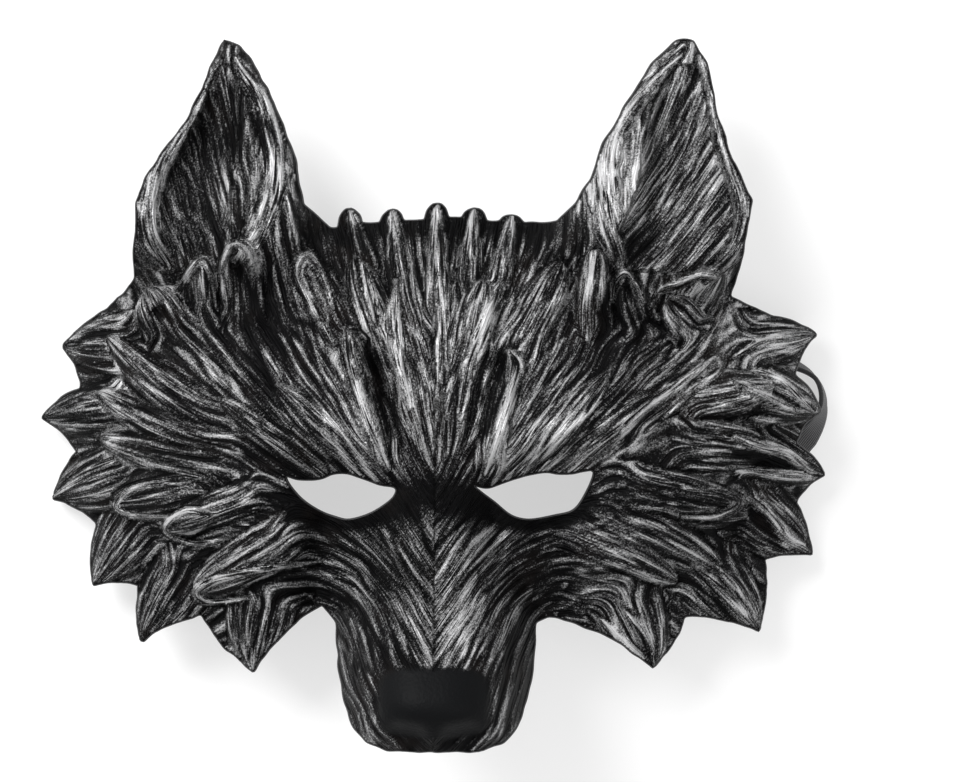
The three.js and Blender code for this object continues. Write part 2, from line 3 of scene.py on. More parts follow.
import bpy
import numpy as np
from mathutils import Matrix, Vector


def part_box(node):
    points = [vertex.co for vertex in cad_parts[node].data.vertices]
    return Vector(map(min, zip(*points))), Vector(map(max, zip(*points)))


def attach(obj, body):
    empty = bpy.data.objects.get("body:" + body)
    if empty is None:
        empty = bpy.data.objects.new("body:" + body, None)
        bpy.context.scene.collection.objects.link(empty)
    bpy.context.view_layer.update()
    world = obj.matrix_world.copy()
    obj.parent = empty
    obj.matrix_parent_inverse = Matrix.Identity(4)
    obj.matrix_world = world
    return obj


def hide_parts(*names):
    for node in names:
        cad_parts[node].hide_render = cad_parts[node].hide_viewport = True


# A moulded half mask of a wolf-like beast, dry brushed with silver, lying face up with its strap.
# Tables hold shares of these sizes, in millimetres, in the mask's own frame: the eye line is up = 0.
HALF_WIDTH = 133.0
FACE_HEIGHT = 230.0
FACE_DEPTH = 100.0
WALL = 3.5
SIDE_CURVE = 2.4
EYE_SPACING = 62.5
EYE_WIDTH = 36.0
EYE_OPENING = 14.5
SOCKET_DEPTH = 7.0
MUZZLE_HALF_WIDTH = 33.0
MUZZLE_CURVE = 2.7
MUZZLE_BLEND = 9.0
NOSE_WIDTH = 34.0
NOSE_LENGTH = 22.0
NOSE_RELIEF = 2.5
NOSE_UP = -0.282
EAR_HOLLOW_DEPTH = 10.0
EAR_EDGE_ROLL = 4.0
TUFT_BOW = 0.07
STRAP_WIDTH = 12.5
STRAP_THICKNESS = 1.5
STRAP_FLOOR_GAP = 0.3
STRAP_TAB = 8.0
STRAP_EDGE = 0.35
PAD_LENGTH = 26.0
PAD_WIDTH = 22.0
PAD_THICKNESS = 1.6
PAD_GAP = 0.25

# The wall's edge stands out this far between the front and the back, at these shares of its depth.
EDGE_BULGE = 0.45
EDGE_RINGS = (0.22, 0.62)
# The front's edges stay at least this far above the lowest place.
EDGE_LIFT = 1.2

# Outlines: how far their corners are rounded, and how far the outer one strays, in lumps of this size.
OUTER_ROUNDING = 0.55
EYE_ROUNDING = 0.5
STRAY = 0.16
STRAY_LUMPS = 1.6

# Fineness: the raster that forms are worked out on, the cells of the front and back surfaces, the
# outlines' points, and the points along the strap and across a pad.
RASTER = 0.5
FRONT_CELL = 0.69
BACK_CELL = 2.4
OUTLINE_SPACING = 0.5
STRAP_POINTS = 420
PAD_POINTS = 25

# Chance: the seed of every draw, and how many numbers the noise picks from.
SEED = 11
CHANCES = 4096

# Strands keep to the fur's flow this much more strongly than to an even spacing. The left side's run
# on from the right side's at this height on the forehead.
STIFFNESS = 20.0
FOREHEAD_UP = 60.0
FIELD_ROUNDS = 1200
FIELD_ERROR = 1e-6

# Strands wander over the face: how far to the side, in lumps how large, in millimetres.
SWAY = 3.5
SWAY_LUMPS = 26
WAVER = 0.9
WAVER_LUMPS = 9

# Fur relief along the strands, in millimetres: how broad and long its cords, hairs and streaks are,
# and how high the small locks (as a share of their own rise), cords and hairs stand.
CORD_BREADTH = 2.6
CORD_LENGTH = 22
HAIR_BREADTH = 1.25
HAIR_LENGTH = 14
STREAK_BREADTH = 6.0
STREAK_LENGTH = 30
SMALL_RISE = 0.55
CORD_RISE = 1.3
HAIR_RISE = 0.9

# Dry brushing: the silver of level fur, and what crests, locks and streaks add to it.
LEVEL_SILVER = 0.33
CREST_SILVER = 0.32
LOCK_SILVER = 0.1
STREAK_SILVER = 0.35

# Small locks: their spacing, how far each strays from its grid point, and the steps of its curve.
SMALL_SPACING = 11.0
SMALL_STRAY = 5.0
SMALL_STEPS = 6


def table(columns, *rows):
    return {name: np.array([row[i] for row in rows], float) for i, name in enumerate(columns.split())}


FACE_ROWS = table(
    "up rise span",
    (-0.37, 0.22, 0.99),
    (-0.26, 0.32, 0.98),
    (-0.196, 0.4, 0.97),
    (-0.109, 0.52, 0.968),
    (0, 0.6, 0.995),
    (0.109, 0.65, 1.015),
    (0.217, 0.61, 0.975),
    (0.326, 0.5, 1),
    (0.413, 0.38, 1.02),
)
MUZZLE_ROWS = table(
    "up top half edge",
    (-0.352, 0.86, 0.5, 0.8),
    (-0.328, 0.94, 0.76, 0.74),
    (-0.287, 1, 0.9, 0.62),
    (-0.239, 0.955, 0.97, 0.52),
    (-0.187, 0.88, 1, 0.42),
    (-0.13, 0.8, 0.84, 0.46),
    (-0.065, 0.735, 0.56, 0.54),
    (0, 0.68, 0.4, 0.58),
    (0.065, 0.62, 0.3, 0.58),
    (0.2, 0.4, 0.3, 0.36),
)
LIP_ROWS = table(
    "up half",
    (-0.187, 0.99),
    (-0.25, 0.95),
    (-0.292, 0.88),
    (-0.324, 0.79),
    (-0.343, 0.66),
    (-0.351, 0.46),
)
LEFT_EAR = table(
    "up inner outer height",
    (0.305, 0.34, 0.747, 0.53),
    (0.37, 0.325, 0.734, 0.56),
    (0.41, 0.33, 0.734, 0.55),
    (0.446, 0.34, 0.714, 0.53),
    (0.48, 0.353, 0.678, 0.51),
    (0.526, 0.383, 0.619, 0.48),
    (0.577, 0.422, 0.578, 0.44),
    (0.624, 0.467, 0.551, 0.4),
    (0.64, 0.49, 0.538, 0.385),
    (0.648, 0.524, 0.53, 0.38),
)
RIGHT_EAR = table(
    "up inner outer height",
    (0.28, 0.3, 0.736, 0.52),
    (0.36, 0.305, 0.757, 0.56),
    (0.414, 0.347, 0.775, 0.55),
    (0.445, 0.382, 0.748, 0.53),
    (0.497, 0.412, 0.715, 0.5),
    (0.538, 0.454, 0.69, 0.47),
    (0.58, 0.499, 0.683, 0.43),
    (0.615, 0.537, 0.671, 0.4),
    (0.648, 0.595, 0.64, 0.38),
)
# Each ear's hollow: its middle and half breadth across the ear, from -1 at the inner edge to 1.
EAR_HOLLOWS = {-1: (0.34, 0.52), 1: (0.24, 0.66)}
# Strands in each ear's hollow lean by this much at its foot, and stand up by this much a millimetre.
EAR_STRANDS = {-1: (0.3, 0.002), 1: (0.86, 0.0085)}
EAR_FOOT = 64.0

# Edge tufts from the ear down to the muzzle; notch is where a tuft's lower edge ends.
TUFT_COLUMNS = "root_x root_y tip_x tip_y notch_x notch_y half"
LEFT_TUFTS = table(
    TUFT_COLUMNS,
    (-0.743, 0.212, -0.959, 0.209, -0.904, 0.148, 0.085),
    (-0.756, 0.13, -1.014, 0.103, -0.916, 0.054, 0.085),
    (-0.733, 0.032, -0.986, -0.015, -0.865, -0.051, 0.09),
    (-0.718, -0.022, -0.873, -0.142, -0.752, -0.139, 0.095),
    (-0.603, -0.1, -0.743, -0.222, -0.59, -0.18, 0.095),
    (-0.408, -0.135, -0.457, -0.262, -0.284, -0.162, 0.11),
)
RIGHT_TUFTS = table(
    TUFT_COLUMNS,
    (0.759, 0.212, 0.964, 0.227, 0.897, 0.167, 0.085),
    (0.771, 0.152, 0.962, 0.114, 0.898, 0.067, 0.08),
    (0.772, 0.072, 0.988, 0.02, 0.908, -0.021, 0.09),
    (0.759, -0.014, 0.956, -0.098, 0.828, -0.103, 0.1),
    (0.644, -0.1, 0.814, -0.208, 0.62, -0.184, 0.1),
    (0.455, -0.135, 0.542, -0.258, 0.277, -0.179, 0.105),
)
TUFT_RISE = 7.0
LEFT_TEMPLE = (-0.834, 0.262)
RIGHT_TEMPLE = (0.846, 0.251)

# Five small tips over the top rim, from right to left, each with the rim's corner after it.
CREST_START = (0.3, 0.384)
CREST_TIPS = table(
    TUFT_COLUMNS,
    (0.145, 0.272, 0.187, 0.396, 0.145, 0.386, 0.032),
    (0.079, 0.272, 0.093, 0.406, 0.051, 0.391, 0.032),
    (0.004, 0.229, 0.001, 0.413, -0.061, 0.387, 0.036),
    (-0.074, 0.272, -0.11, 0.404, -0.17, 0.384, 0.034),
    (-0.155, 0.272, -0.215, 0.406, -0.264, 0.377, 0.036),
)
CREST_RISE = 4.5
# Each tip is a rounded knob: how far across it a place is, and its share of the height over the rim.
KNOB = ((0.029, 0.0), (0.022, 0.6), (0.01, 0.98), (-0.01, 0.98), (-0.022, 0.6), (-0.029, 0.0))

# Locks on the face. rise is in millimetres, cup hollows a lock's middle, and bend bows it to its left.
LOCKS = table(
    "root_x root_y tip_x tip_y half rise cup bend",
    (-0.5, 0.09, -0.83, 0.222, 0.055, 7, 0, 0.06),
    (-0.48, 0.055, -0.853, 0.142, 0.058, 7, 0, 0.04),
    (-0.5, 0.035, -0.848, 0.075, 0.062, 7, 0, 0),
    (-0.546, 0.019, -0.82, -0.017, 0.07, 8.5, 0.5, 0),
    (-0.42, 0.003, -0.678, -0.052, 0.05, 6.5, 0, 0),
    (-0.32, -0.05, -0.603, -0.142, 0.065, 6.5, 0, 0),
    (0.477, 0.101, 0.706, 0.184, 0.045, 4.5, 0.4, 0),
    (0.603, 0.128, 0.832, 0.151, 0.062, 8.5, 0, 0),
    (0.578, 0.073, 0.834, 0.055, 0.068, 6, 0, 0),
    (0.427, 0.012, 0.782, -0.033, 0.066, 5.5, 0, 0),
    (0.39, -0.026, 0.715, -0.119, 0.06, 4.5, 0, 0.05),
    (0.3, -0.05, 0.6, -0.13, 0.055, 3.5, 0, 0.05),
    (-0.653, 0.223, -0.716, 0.291, 0.075, 8.5, 0.6, 0),
    (-0.581, 0.252, -0.577, 0.331, 0.05, 8.5, 0.2, 0),
    (-0.473, 0.237, -0.488, 0.351, 0.06, 8.5, 0.7, 0),
    (0.383, 0.237, 0.391, 0.343, 0.05, 8.5, 0, 0),
    (0.513, 0.223, 0.47, 0.298, 0.05, 8.5, 0.6, 0),
    (0.651, 0.223, 0.57, 0.273, 0.06, 8.5, 0.6, 0),
    (0.626, 0.259, 0.698, 0.318, 0.05, 8.5, 0, 0),
    (-0.101, 0.028, -0.209, 0.227, 0.036, 5, 0, 0),
    (0.125, 0.022, 0.178, 0.201, 0.036, 5, 0, 0),
    (-0.218, 0.054, -0.391, 0.152, 0.04, 2.5, 0, 0),
    (0.253, 0.054, 0.42, 0.17, 0.04, 2.5, 0, 0),
    (-0.33, 0.046, -0.525, 0.131, 0.036, 2.5, 0, 0),
    (0.364, 0.06, 0.537, 0.138, 0.036, 2.5, 0, 0),
    (-0.208, 0.201, -0.322, 0.334, 0.055, 5.5, 0.2, 0),
    (-0.122, 0.208, -0.201, 0.332, 0.055, 5.5, 0, 0),
    (0.084, 0.201, 0.118, 0.301, 0.05, 5.5, 0, 0),
    (0.205, 0.208, 0.309, 0.327, 0.055, 5.5, 0, 0),
)
# A lock starts to rise at the first share of its length, and is at its full height from the second.
LOCK_START = -0.15
LOCK_FULL = 0.6

# Single folds: half breadth, rise and extra silver, then the places that a fold runs through, all in
# millimetres from the middle of the eye line. A fold that falls is a groove, and one with no rise is
# silver alone.
FOLDS = (
    (4.5, 0.9, 0.22, (-66, 142), (-59, 131), (-55, 120), (-53, 109), (-54, 96), (-59, 83), (-65, 75)),
    (4.2, 0.8, 0.16, (-72, 142), (-79, 130), (-85, 119), (-91, 107), (-94, 94), (-93, 83), (-88, 74)),
    (5.5, 0.9, 0.25, (81, 146), (70, 136), (61, 126), (55, 114), (54, 101), (56, 86), (61, 73)),
    (3.6, 0.8, -0.05, (87, 143), (92, 129), (95, 114), (100, 99), (101, 88), (97, 78), (88, 69)),
    (1.6, 1.8, 0.25, (-86, 66), (-81, 71), (-76, 76), (-73, 72), (-72, 66)),
    (1.6, 1.8, 0.25, (-70, 72), (-68, 78), (-64, 81), (-60, 78), (-58, 70)),
    (2.4, -1.8, -0.3, (-66, 76), (-64, 70)),
    (4.0, 1.6, 0.3, (49, 50), (49, 62), (51, 78)),
    (1.4, 1.6, 0.25, (57, 62), (58, 69), (62, 72), (66, 68), (68, 62)),
    (2.4, -1.8, -0.3, (62, 68), (61, 62)),
    (1.4, 1.6, 0.25, (70, 60), (74, 66), (80, 68), (87, 71), (92, 70)),
    (2.6, -1.8, -0.3, (77, 63), (82, 60)),
    (7.5, 2.6, 0.2, (-104, 58), (-97, 63), (-90, 64), (-84, 61)),
    (2.6, -2.4, -0.5, (-94, 59), (-89, 59)),
    (3.0, 0.0, 0.3, (-106, 56), (-108, 45), (-106, 34)),
    (3.0, 0.0, 0.3, (-105, 37), (-109, 34), (-110, 30), (-108, 26), (-103, 24)),
    (3.0, 0.0, 0.3, (-103, 21), (-107, 19), (-109, 15), (-107, 10), (-100, 8)),
    (1.4, 1.6, 0.3, (-74, 4), (-88, 3), (-99, 1), (-106, -3), (-106, -7), (-95, -9), (-84, -8)),
    (1.4, 1.6, 0.3, (-71, -7), (-81, -6), (-88, -10), (-89, -14), (-80, -17), (-68, -15)),
    (1.6, 1.6, 0.3, (-38, -23), (-55, -25), (-70, -28), (-79, -33), (-75, -37), (-62, -35)),
    (2.4, 1.6, 0.3, (-29, 53), (-28, 43), (-23, 27), (-15, 8)),
    (2.2, 1.6, 0.25, (-33, 48), (-40, 61), (-45, 71), (-42, 77), (-37, 71), (-33, 60)),
    (2.4, 1.6, 0.3, (-13, 69), (-13, 56), (-12, 45), (-8, 28)),
    (2.2, 1.4, 0.25, (1, 70), (2, 46), (1, 28)),
    (2.6, 1.6, 0.3, (22, 68), (16, 53), (11, 40), (8, 24)),
    (2.4, 1.6, 0.3, (24, 46), (27, 40), (22, 24), (16, 6)),
    (2.0, 1.4, 0.25, (-24, 75), (-22, 66), (-19, 54)),
    (3.4, -2.2, -0.4, (-22, 49), (-19, 36), (-14, 18)),
    (3.0, -2.2, -0.4, (21, 46), (20, 36), (15, 17)),
    (1.5, 1.8, 0.25, (60, 20), (73, 30), (85, 39), (92, 44), (93, 40), (84, 33), (74, 24)),
    (2.0, 2.2, 0.35, (98, 18), (106, 15), (117, 12), (126, 6)),
    (2.4, -2.4, -0.5, (98, 13), (108, 10), (118, 8)),
    (1.8, 2.0, 0.35, (96, 8), (110, 6), (120, 5), (126, 4)),
    (1.8, 2.0, 0.35, (102, -2), (108, -5), (113, -10), (118, -16), (124, -19)),
    (2.6, -2.2, -0.5, (104, -7), (109, -12), (115, -19)),
    (1.5, 1.6, 0.3, (92, -24), (101, -32), (107, -42)),
    (1.5, 1.6, 0.3, (84, -24), (95, -33), (104, -42)),
    (1.8, 2.0, 0.35, (104, 40), (113, 37), (120, 31), (126, 26)),
    (1.8, 1.6, 0.3, (98, 36), (108, 31), (118, 27)),
    (1.6, 1.6, 0.3, (98, 44), (110, 50), (122, 51)),
    (1.5, 1.6, 0.3, (54, -42), (62, -50), (69, -56)),
    (1.5, 1.6, 0.3, (60, -36), (68, -46), (72, -54)),
    (2.0, 1.4, 0.25, (80, 1), (94, -1), (100, -4), (92, -8), (80, -8)),
)
# Points along a fold for each of its places, and the half breadth from which strands run across it.
FOLD_POINTS = 14
BROAD_FOLD = 6.0

# More or less silver on one side only, with some painted light: (8, -40) and (6, -50) are silver with a
# painted highlight, (65, 80) is a painted shadow in the right ear's hollow.
SIDE_SILVER_HIGHLIGHT_AND_SHADOW = table(
    "x y radius amount",
    (8, -40, 9, 0.15), (6, -50, 8, 0.14), (-14, -45, 12, -0.16), (-30, -66, 12, -0.1), (52, 68, 6, 0.1),
    (-16, -28, 10, -0.14), (24, -54, 9, -0.14), (-56, 4, 9, -0.2), (-38, 14, 12, -0.12),
    (-60, 60, 14, -0.08), (60, 50, 10, -0.1), (-88, 22, 14, -0.1), (-73, 105, 17, 0.12),
    (-62, 116, 10, -0.35), (-80, 8, 16, -0.08), (77, 98, 22, 0.4), (56, 100, 10, 0.2),
    (65, 80, 8, -0.3), (-62, 88, 8, -0.1),
    (82, 132, 12, 0.15), (-20, 8, 8, 0.1), (24, 12, 9, 0.12), (24.9, 89.5, 4, 0.6), (12.4, 91.5, 4, 0.6),
    (0.1, 93, 4, 0.6), (-14.6, 91, 4, 0.6), (-28.6, 91.5, 4, 0.6),
)

# Soft ridges and hollows on both sides, from one place to another.
RIDGE_COLUMNS = "from_x from_y to_x to_y half rise"
MODELLING = table(
    RIDGE_COLUMNS,
    (0.11, 0.05, 0.45, 0.115, 0.08, 0.07),
    (0.4, -0.07, 0.64, 0, 0.12, 0.05),
    (0.27, -0.05, 0.3, -0.15, 0.055, -0.07),
    (0.085, 0.06, 0.15, 0.17, 0.03, -0.05),
    (0.42, 0.2, 0.6, 0.19, 0.1, -0.03),
)
NOSTRIL = table(RIDGE_COLUMNS, (0.05, -0.328, 0.085, -0.325, 0.028, -0.05))
STRAP_ARCH = table(RIDGE_COLUMNS, (0.83, 0.145, 0.98, 0.135, 0.125, 0.165))

# The rim of each eye hole, in millimetres from the middle of the eye line.
EYE_HOLES = {
    -1: (
        (-48.9, 5.4), (-45.1, 4.4), (-40.3, 4.2), (-36.7, 4.8), (-33.4, 6.2), (-28.8, 6.4),
        (-23.0, 4.6), (-18.1, 2.8), (-13.0, 1.9), (-13.0, -0.5), (-15.5, -3.3), (-21.3, -7.0),
        (-28.4, -9.2), (-33.0, -8.5), (-38.0, -6.6), (-43.8, -2.5), (-47.6, 2.1),
    ),
    1: (
        (12.1, 2.7), (16.8, 1.7), (22.4, 3.6), (28.9, 5.6), (35.5, 6.8), (39.7, 6.2),
        (44.5, 6.3), (47.7, 7.0), (51.5, 6.9), (49.4, 0.5), (45.2, -5.8), (38.9, -7.9),
        (32.4, -9.2), (28.1, -9.0), (23.9, -7.4), (19.0, -3.3), (14.9, -0.1),
    ),
}

# Which way the fur lies on the right side, in millimetres from the middle of the eye line. The left
# side mirrors it.
FLOW = table(
    "x y run_x run_y",
    (0, 20, 0, 1), (0, 90, 0, 1), (10, 30, 0.15, 1), (22, 45, 0.3, 1), (35, 60, 0.4, 1), (28, 90, 0.2, 1),
    (20, 12, 0.65, 0.75), (30, 18, 0.5, 0.85), (43, 16, 0.7, 0.7), (60, 20, 0.7, 0.7), (55, 48, 0.45, 0.9),
    (80, 38, 0.85, 0.5), (100, 48, 0.95, 0.3), (115, 52, 1, 0.1), (88, 18, 1, 0.15), (115, 12, 1, -0.25),
    (70, 5, 1, 0.15), (88, -2, 1, -0.1), (60, -5, 1, 0.1), (112, -15, 0.9, -0.6), (95, -30, 0.75, -0.75),
    (75, -22, 0.95, -0.35), (60, -20, 1, -0.1), (45, -18, 1, 0.1), (65, -38, 0.6, -0.9),
    (48, -32, 0.9, -0.5), (4, 0, 0.5, 0.8), (6, -20, 0.5, 0.85), (8, -40, 0.5, 0.85), (6, -55, 0.5, 0.85),
    (20, -25, 0.75, 0.6), (20, -45, 0.5, 0.9), (28, -55, 0.35, 0.95), (27, -72, 0.3, 0.95),
    (33, -28, 0.95, 0.2), (15, -78, 0.6, 0.6), (72, 120, 0, 1), (60, 100, 0.05, 1), (90, 95, 0.1, 1),
    (50, 90, 0.1, 1), (70, 68, -0.05, 1), (88, 66, 0.3, 1),
)

# Where the brush left more silver (amount above nought) or less, on both sides; the spot at (8, -38) is
# silver with a painted highlight.
SILVER_AND_HIGHLIGHT_SPOTS = table(
    "x y radius amount",
    (0, 2, 7, -0.35), (7, -3, 6, -0.3), (13, -3, 6, -0.35), (34, -10, 9, -0.15), (0, -62, 24, -0.14),
    (30, -55, 12, -0.15), (0, -80, 13, -0.4),
    (38, -32, 12, -0.25), (38, 80, 10, -0.2), (62, 30, 9, -0.1), (95, -12, 14, -0.1),
    (8, -38, 10, 0.25), (10, 55, 14, 0.2), (28, 20, 12, 0.2), (55, 58, 14, -0.15), (82, 48, 12, -0.05),
    (72, 105, 14, -0.1), (95, 105, 8, 0.1), (58, 110, 8, 0.15), (70, 70, 14, 0.1), (112, 20, 18, -0.05),
)

# The strap from pad to pad: lift is the height of its lower side, and a turn of 90 degrees stands it
# on its edge.
STRAP_ROUTE = table(
    "across up lift turn",
    (-0.7, 0.098, 0.27, 20),
    (-0.77, 0.085, 0.13, 50),
    (-0.8, 0.055, 0.03, 80),
    (-0.76, 0.018, 0, 90),
    (-0.64, 0.008, 0, 90),
    (-0.4, 0.044, 0, 90),
    (0, 0.055, 0, 90),
    (0.4, 0.048, 0, 90),
    (0.68, 0.02, 0, 80),
    (0.86, 0.035, 0, 54),
    (0.942, 0.075, 0, 46),
    (0.984, 0.122, 0, 76),
    (0.964, 0.163, 0, 86),
    (0.89, 0.186, 0.01, 74),
    (0.8, 0.184, 0.1, 50),
    (0.725, 0.174, 0.225, 18),
)
# The middle of each pad.
PADS = {"left": (-0.62, 0.105), "right": (0.64, 0.165)}

# Finishes: the colours, the drawn hairs' breadth and length in millimetres with a shift that sets them
# apart, the grain's lumps a metre, and the weave of the strap in millimetres.
FOAM_BLACK = (0.0018, 0.0018, 0.002, 1)
FOAM_WARM = (0.0042, 0.0034, 0.0032, 1)
SILVER = (0.46, 0.46, 0.465, 1)
NOSE_BLACK = (0.0031, 0.0033, 0.0037, 1)
BACK_DARK = (0.011, 0.011, 0.012, 1)
BACK_PALE = (0.02, 0.0195, 0.02, 1)
ELASTIC_DARK = (0.0032, 0.0032, 0.0038, 1)
ELASTIC_PALE = (0.018, 0.018, 0.0205, 1)
FELT_DARK = (0.008, 0.008, 0.009, 1)
FELT_PALE = (0.03, 0.03, 0.032, 1)
FLOOR_DARK = (0.33, 0.33, 0.33, 1)
FLOOR_PALE = (0.34, 0.34, 0.34, 1)
WHITE = (1, 1, 1, 1)
LOOSE_HAIRS = (1.5, 22.0, 0.0)
THIN_HAIRS = (0.9, 11.0, 31.0)
FOAM_GRAIN = 1700.0
NOSE_GRAIN = 900.0
RIB_SPACING = 1.05
WEFT_SPACING = 0.62

# How the silver lies on the foam: the share that hairs catch, what is caught between them, the speckle
# that the grain adds, and the patches; then how metallic it is and how much smoother than bare foam.
HAIR_CATCH = 1.35
BETWEEN_CATCH = 0.12
SPECKLE = 1.7
PATCHES = 0.25
SILVER_METAL = 0.4
SILVER_SMOOTHER = 0.12
FOAM_ROUGHNESS = 0.56
FOAM_SHINE = 0.05

# Bump of each finish, in metres.
FUR_BUMP = 0.0007
BACK_BUMP = 0.0002
WEAVE_BUMP = 0.00018
FELT_BUMP = 0.0004

# Studio, in metres: the floor, and each lamp's place, size and power.
FLOOR_REACH = 3.0
FLOOR_DROP = 0.0002
FLOOR_GLOW = 0.56
KEY_LIGHT = ((-0.75, 0.75, 1.15), 0.75, 36)
FILL_LIGHT = ((0.9, -0.5, 1.2), 1.2, 8)
SURROUNDING_LIGHT = 0.75

# The camera looks straight down from this height in metres, above the middle of the picture. The
# picture's width in millimetres holds at the height that follows it.
CAMERA_HEIGHT = 1.1
PICTURE_MIDDLE = (16.0, 33.0)
PICTURE_WIDTH = 323.0
PICTURE_WIDTH_AT = 30.0
SENSOR = 36.0


# Working out forms

def step(low, high, value):
    t = np.clip((value - low) / (high - low), 0, 1)
    return t * t * (3 - 2 * t)


def soft_max(a, b, blend):
    near = np.maximum(blend - np.abs(a - b), 0) / blend
    return np.maximum(a, b) + near * near * blend * 0.25


def read_row(rows, column, at):
    x = rows["up"]
    y = rows[column]
    slopes = np.gradient(y)
    slopes[1:-1] = (y[2:] - y[:-2]) / (x[2:] - x[:-2])
    slopes[0] = (y[1] - y[0]) / (x[1] - x[0])
    slopes[-1] = (y[-1] - y[-2]) / (x[-1] - x[-2])
    low = np.clip(np.searchsorted(x, at) - 1, 0, len(x) - 2)
    span = x[low + 1] - x[low]
    t = np.clip((at - x[low]) / span, 0, 1)
    t2 = t * t
    t3 = t2 * t
    start = (2 * t3 - 3 * t2 + 1) * y[low] + (t3 - 2 * t2 + t) * span * slopes[low]
    return start + (3 * t2 - 2 * t3) * y[low + 1] + (t3 - t2) * span * slopes[low + 1]


def beside_line(x, y, start, end):
    run = ((end[0] - start[0]) * HALF_WIDTH, (end[1] - start[1]) * FACE_HEIGHT)
    away_x = x - start[0] * HALF_WIDTH
    away_y = y - start[1] * FACE_HEIGHT
    length = math.hypot(*run)
    along = (away_x * run[0] + away_y * run[1]) / length ** 2
    beside = (away_y * run[0] - away_x * run[1]) / length
    return along, beside, length


def ridge_height(x, y, ridges):
    height = np.zeros_like(x)
    for row in zip(*ridges.values()):
        start, end, half, rise = row[0:2], row[2:4], row[4], row[5]
        along, beside, length = beside_line(x, y, start, end)
        past = (along - np.clip(along, 0, 1)) * length
        away = np.hypot(past, beside) / (half * HALF_WIDTH)
        height += rise * FACE_DEPTH * np.exp(-away * away)
    return height


def socket_height(x, y):
    height = np.zeros_like(x)
    for side in EYE_HOLES:
        across = (x - side * EYE_SPACING / 2) / (EYE_WIDTH * 0.62)
        up = y / (EYE_OPENING * 0.95)
        height -= SOCKET_DEPTH * np.exp(-across * across - up * up)
    return height


def muzzle_height(x, y):
    up = y / FACE_HEIGHT
    top = read_row(MUZZLE_ROWS, "top", up) * FACE_DEPTH
    edge = read_row(MUZZLE_ROWS, "edge", up) * FACE_DEPTH
    half = read_row(MUZZLE_ROWS, "half", up) * MUZZLE_HALF_WIDTH
    return top - (top - edge) * (np.abs(x) / half) ** MUZZLE_CURVE


def nose_share(x, y):
    across = np.abs(x) / (NOSE_WIDTH / 2)
    up = np.abs(y - NOSE_UP * FACE_HEIGHT) / (NOSE_LENGTH / 2)
    return 1 - step(0.7, 1.4, across ** 4 + up ** 4)


def ear_form(x, y, side):
    rows = LEFT_EAR if side < 0 else RIGHT_EAR
    up = y / FACE_HEIGHT
    inner = read_row(rows, "inner", up) * HALF_WIDTH
    outer = read_row(rows, "outer", up) * HALF_WIDTH
    across = (x * side - (inner + outer) / 2) / ((outer - inner) / 2)
    middle, half = EAR_HOLLOWS[side]
    into = np.minimum(np.abs(across - middle) / half, 1)
    hollow = (1 - into ** 3) ** 1.5 * step(0.3, 0.35, up) * (1 - step(0.5, 0.64, up))
    roll = EAR_EDGE_ROLL * np.minimum(across * across, 4)
    height = read_row(rows, "height", up) * FACE_DEPTH - roll - EAR_HOLLOW_DEPTH * hollow
    share = step(0.27, 0.345, up) * step(-1.35, -0.8, across)
    return height, share, hollow * share


def base_form(x, y):
    """Height of the face without its fur, and how far a place is into an ear's hollow."""
    rise = read_row(FACE_ROWS, "rise", y / FACE_HEIGHT) * FACE_DEPTH
    side = np.abs(x) / (read_row(FACE_ROWS, "span", y / FACE_HEIGHT) * HALF_WIDTH)
    height = rise * (1 - side ** SIDE_CURVE) + socket_height(x, y)
    height += ridge_height(np.abs(x), y, MODELLING)
    height = soft_max(height, muzzle_height(x, y), MUZZLE_BLEND)
    hollows = np.zeros_like(x)
    for side in (-1, 1):
        ear_height, share, hollow = ear_form(x, y, side)
        share = np.where(x * side > 0, share, 0)
        height = height + (ear_height - height) * share
        hollows = np.maximum(hollows, np.where(x * side > 0, hollow, 0))
    height += NOSE_RELIEF * nose_share(x, y) + ridge_height(np.abs(x), y, NOSTRIL)
    return height + ridge_height(x, y, STRAP_ARCH), hollows


# The raster that the front is worked out on
LOW_X, HIGH_X = -142.0, 142.0
LOW_Y, HIGH_Y = -92.0, 158.0
AXIS_X = np.arange(LOW_X, HIGH_X + RASTER, RASTER)
AXIS_Y = np.arange(LOW_Y, HIGH_Y + RASTER, RASTER)
MAP_X, MAP_Y = np.meshgrid(AXIS_X, AXIS_Y)


def read_grid(values, column, row):
    """Reads a grid of values between its points."""
    column = np.clip(column, 0, values.shape[1] - 1.001)
    row = np.clip(row, 0, values.shape[0] - 1.001)
    c0 = column.astype(int)
    r0 = row.astype(int)
    fc = column - c0
    fr = row - r0
    low = values[r0, c0] * (1 - fc) + values[r0, c0 + 1] * fc
    high = values[r0 + 1, c0] * (1 - fc) + values[r0 + 1, c0 + 1] * fc
    return low * (1 - fr) + high * fr


def sample(values, x, y):
    """Reads a raster at a place in millimetres."""
    return read_grid(values, (x - LOW_X) / RASTER, (y - LOW_Y) / RASTER)


def blur(values, radius):
    """Gaussian blur of a raster, with radius in millimetres."""
    rows = np.fft.fftfreq(values.shape[0], RASTER)[:, None]
    columns = np.fft.rfftfreq(values.shape[1], RASTER)[None, :]
    filtered = np.exp(-2 * (np.pi * radius) ** 2 * (rows ** 2 + columns ** 2))
    return np.fft.irfft2(np.fft.rfft2(values) * filtered, values.shape)


def even(values):
    return (values - values.mean()) / values.std()


def fur_flow(x, y):
    """Which way the fur lies on the right side."""
    run_x = np.zeros_like(x)
    run_y = np.zeros_like(x)
    for at_x, at_y, to_x, to_y in zip(*FLOW.values()):
        weight = 1 / ((x - at_x) ** 2 + (y - at_y) ** 2 + 16) ** 1.6
        length = math.hypot(to_x, to_y)
        run_x += weight * to_x / length
        run_y += weight * to_y / length
    length = np.hypot(run_x, run_y) + 1e-9
    return run_x / length, run_y / length


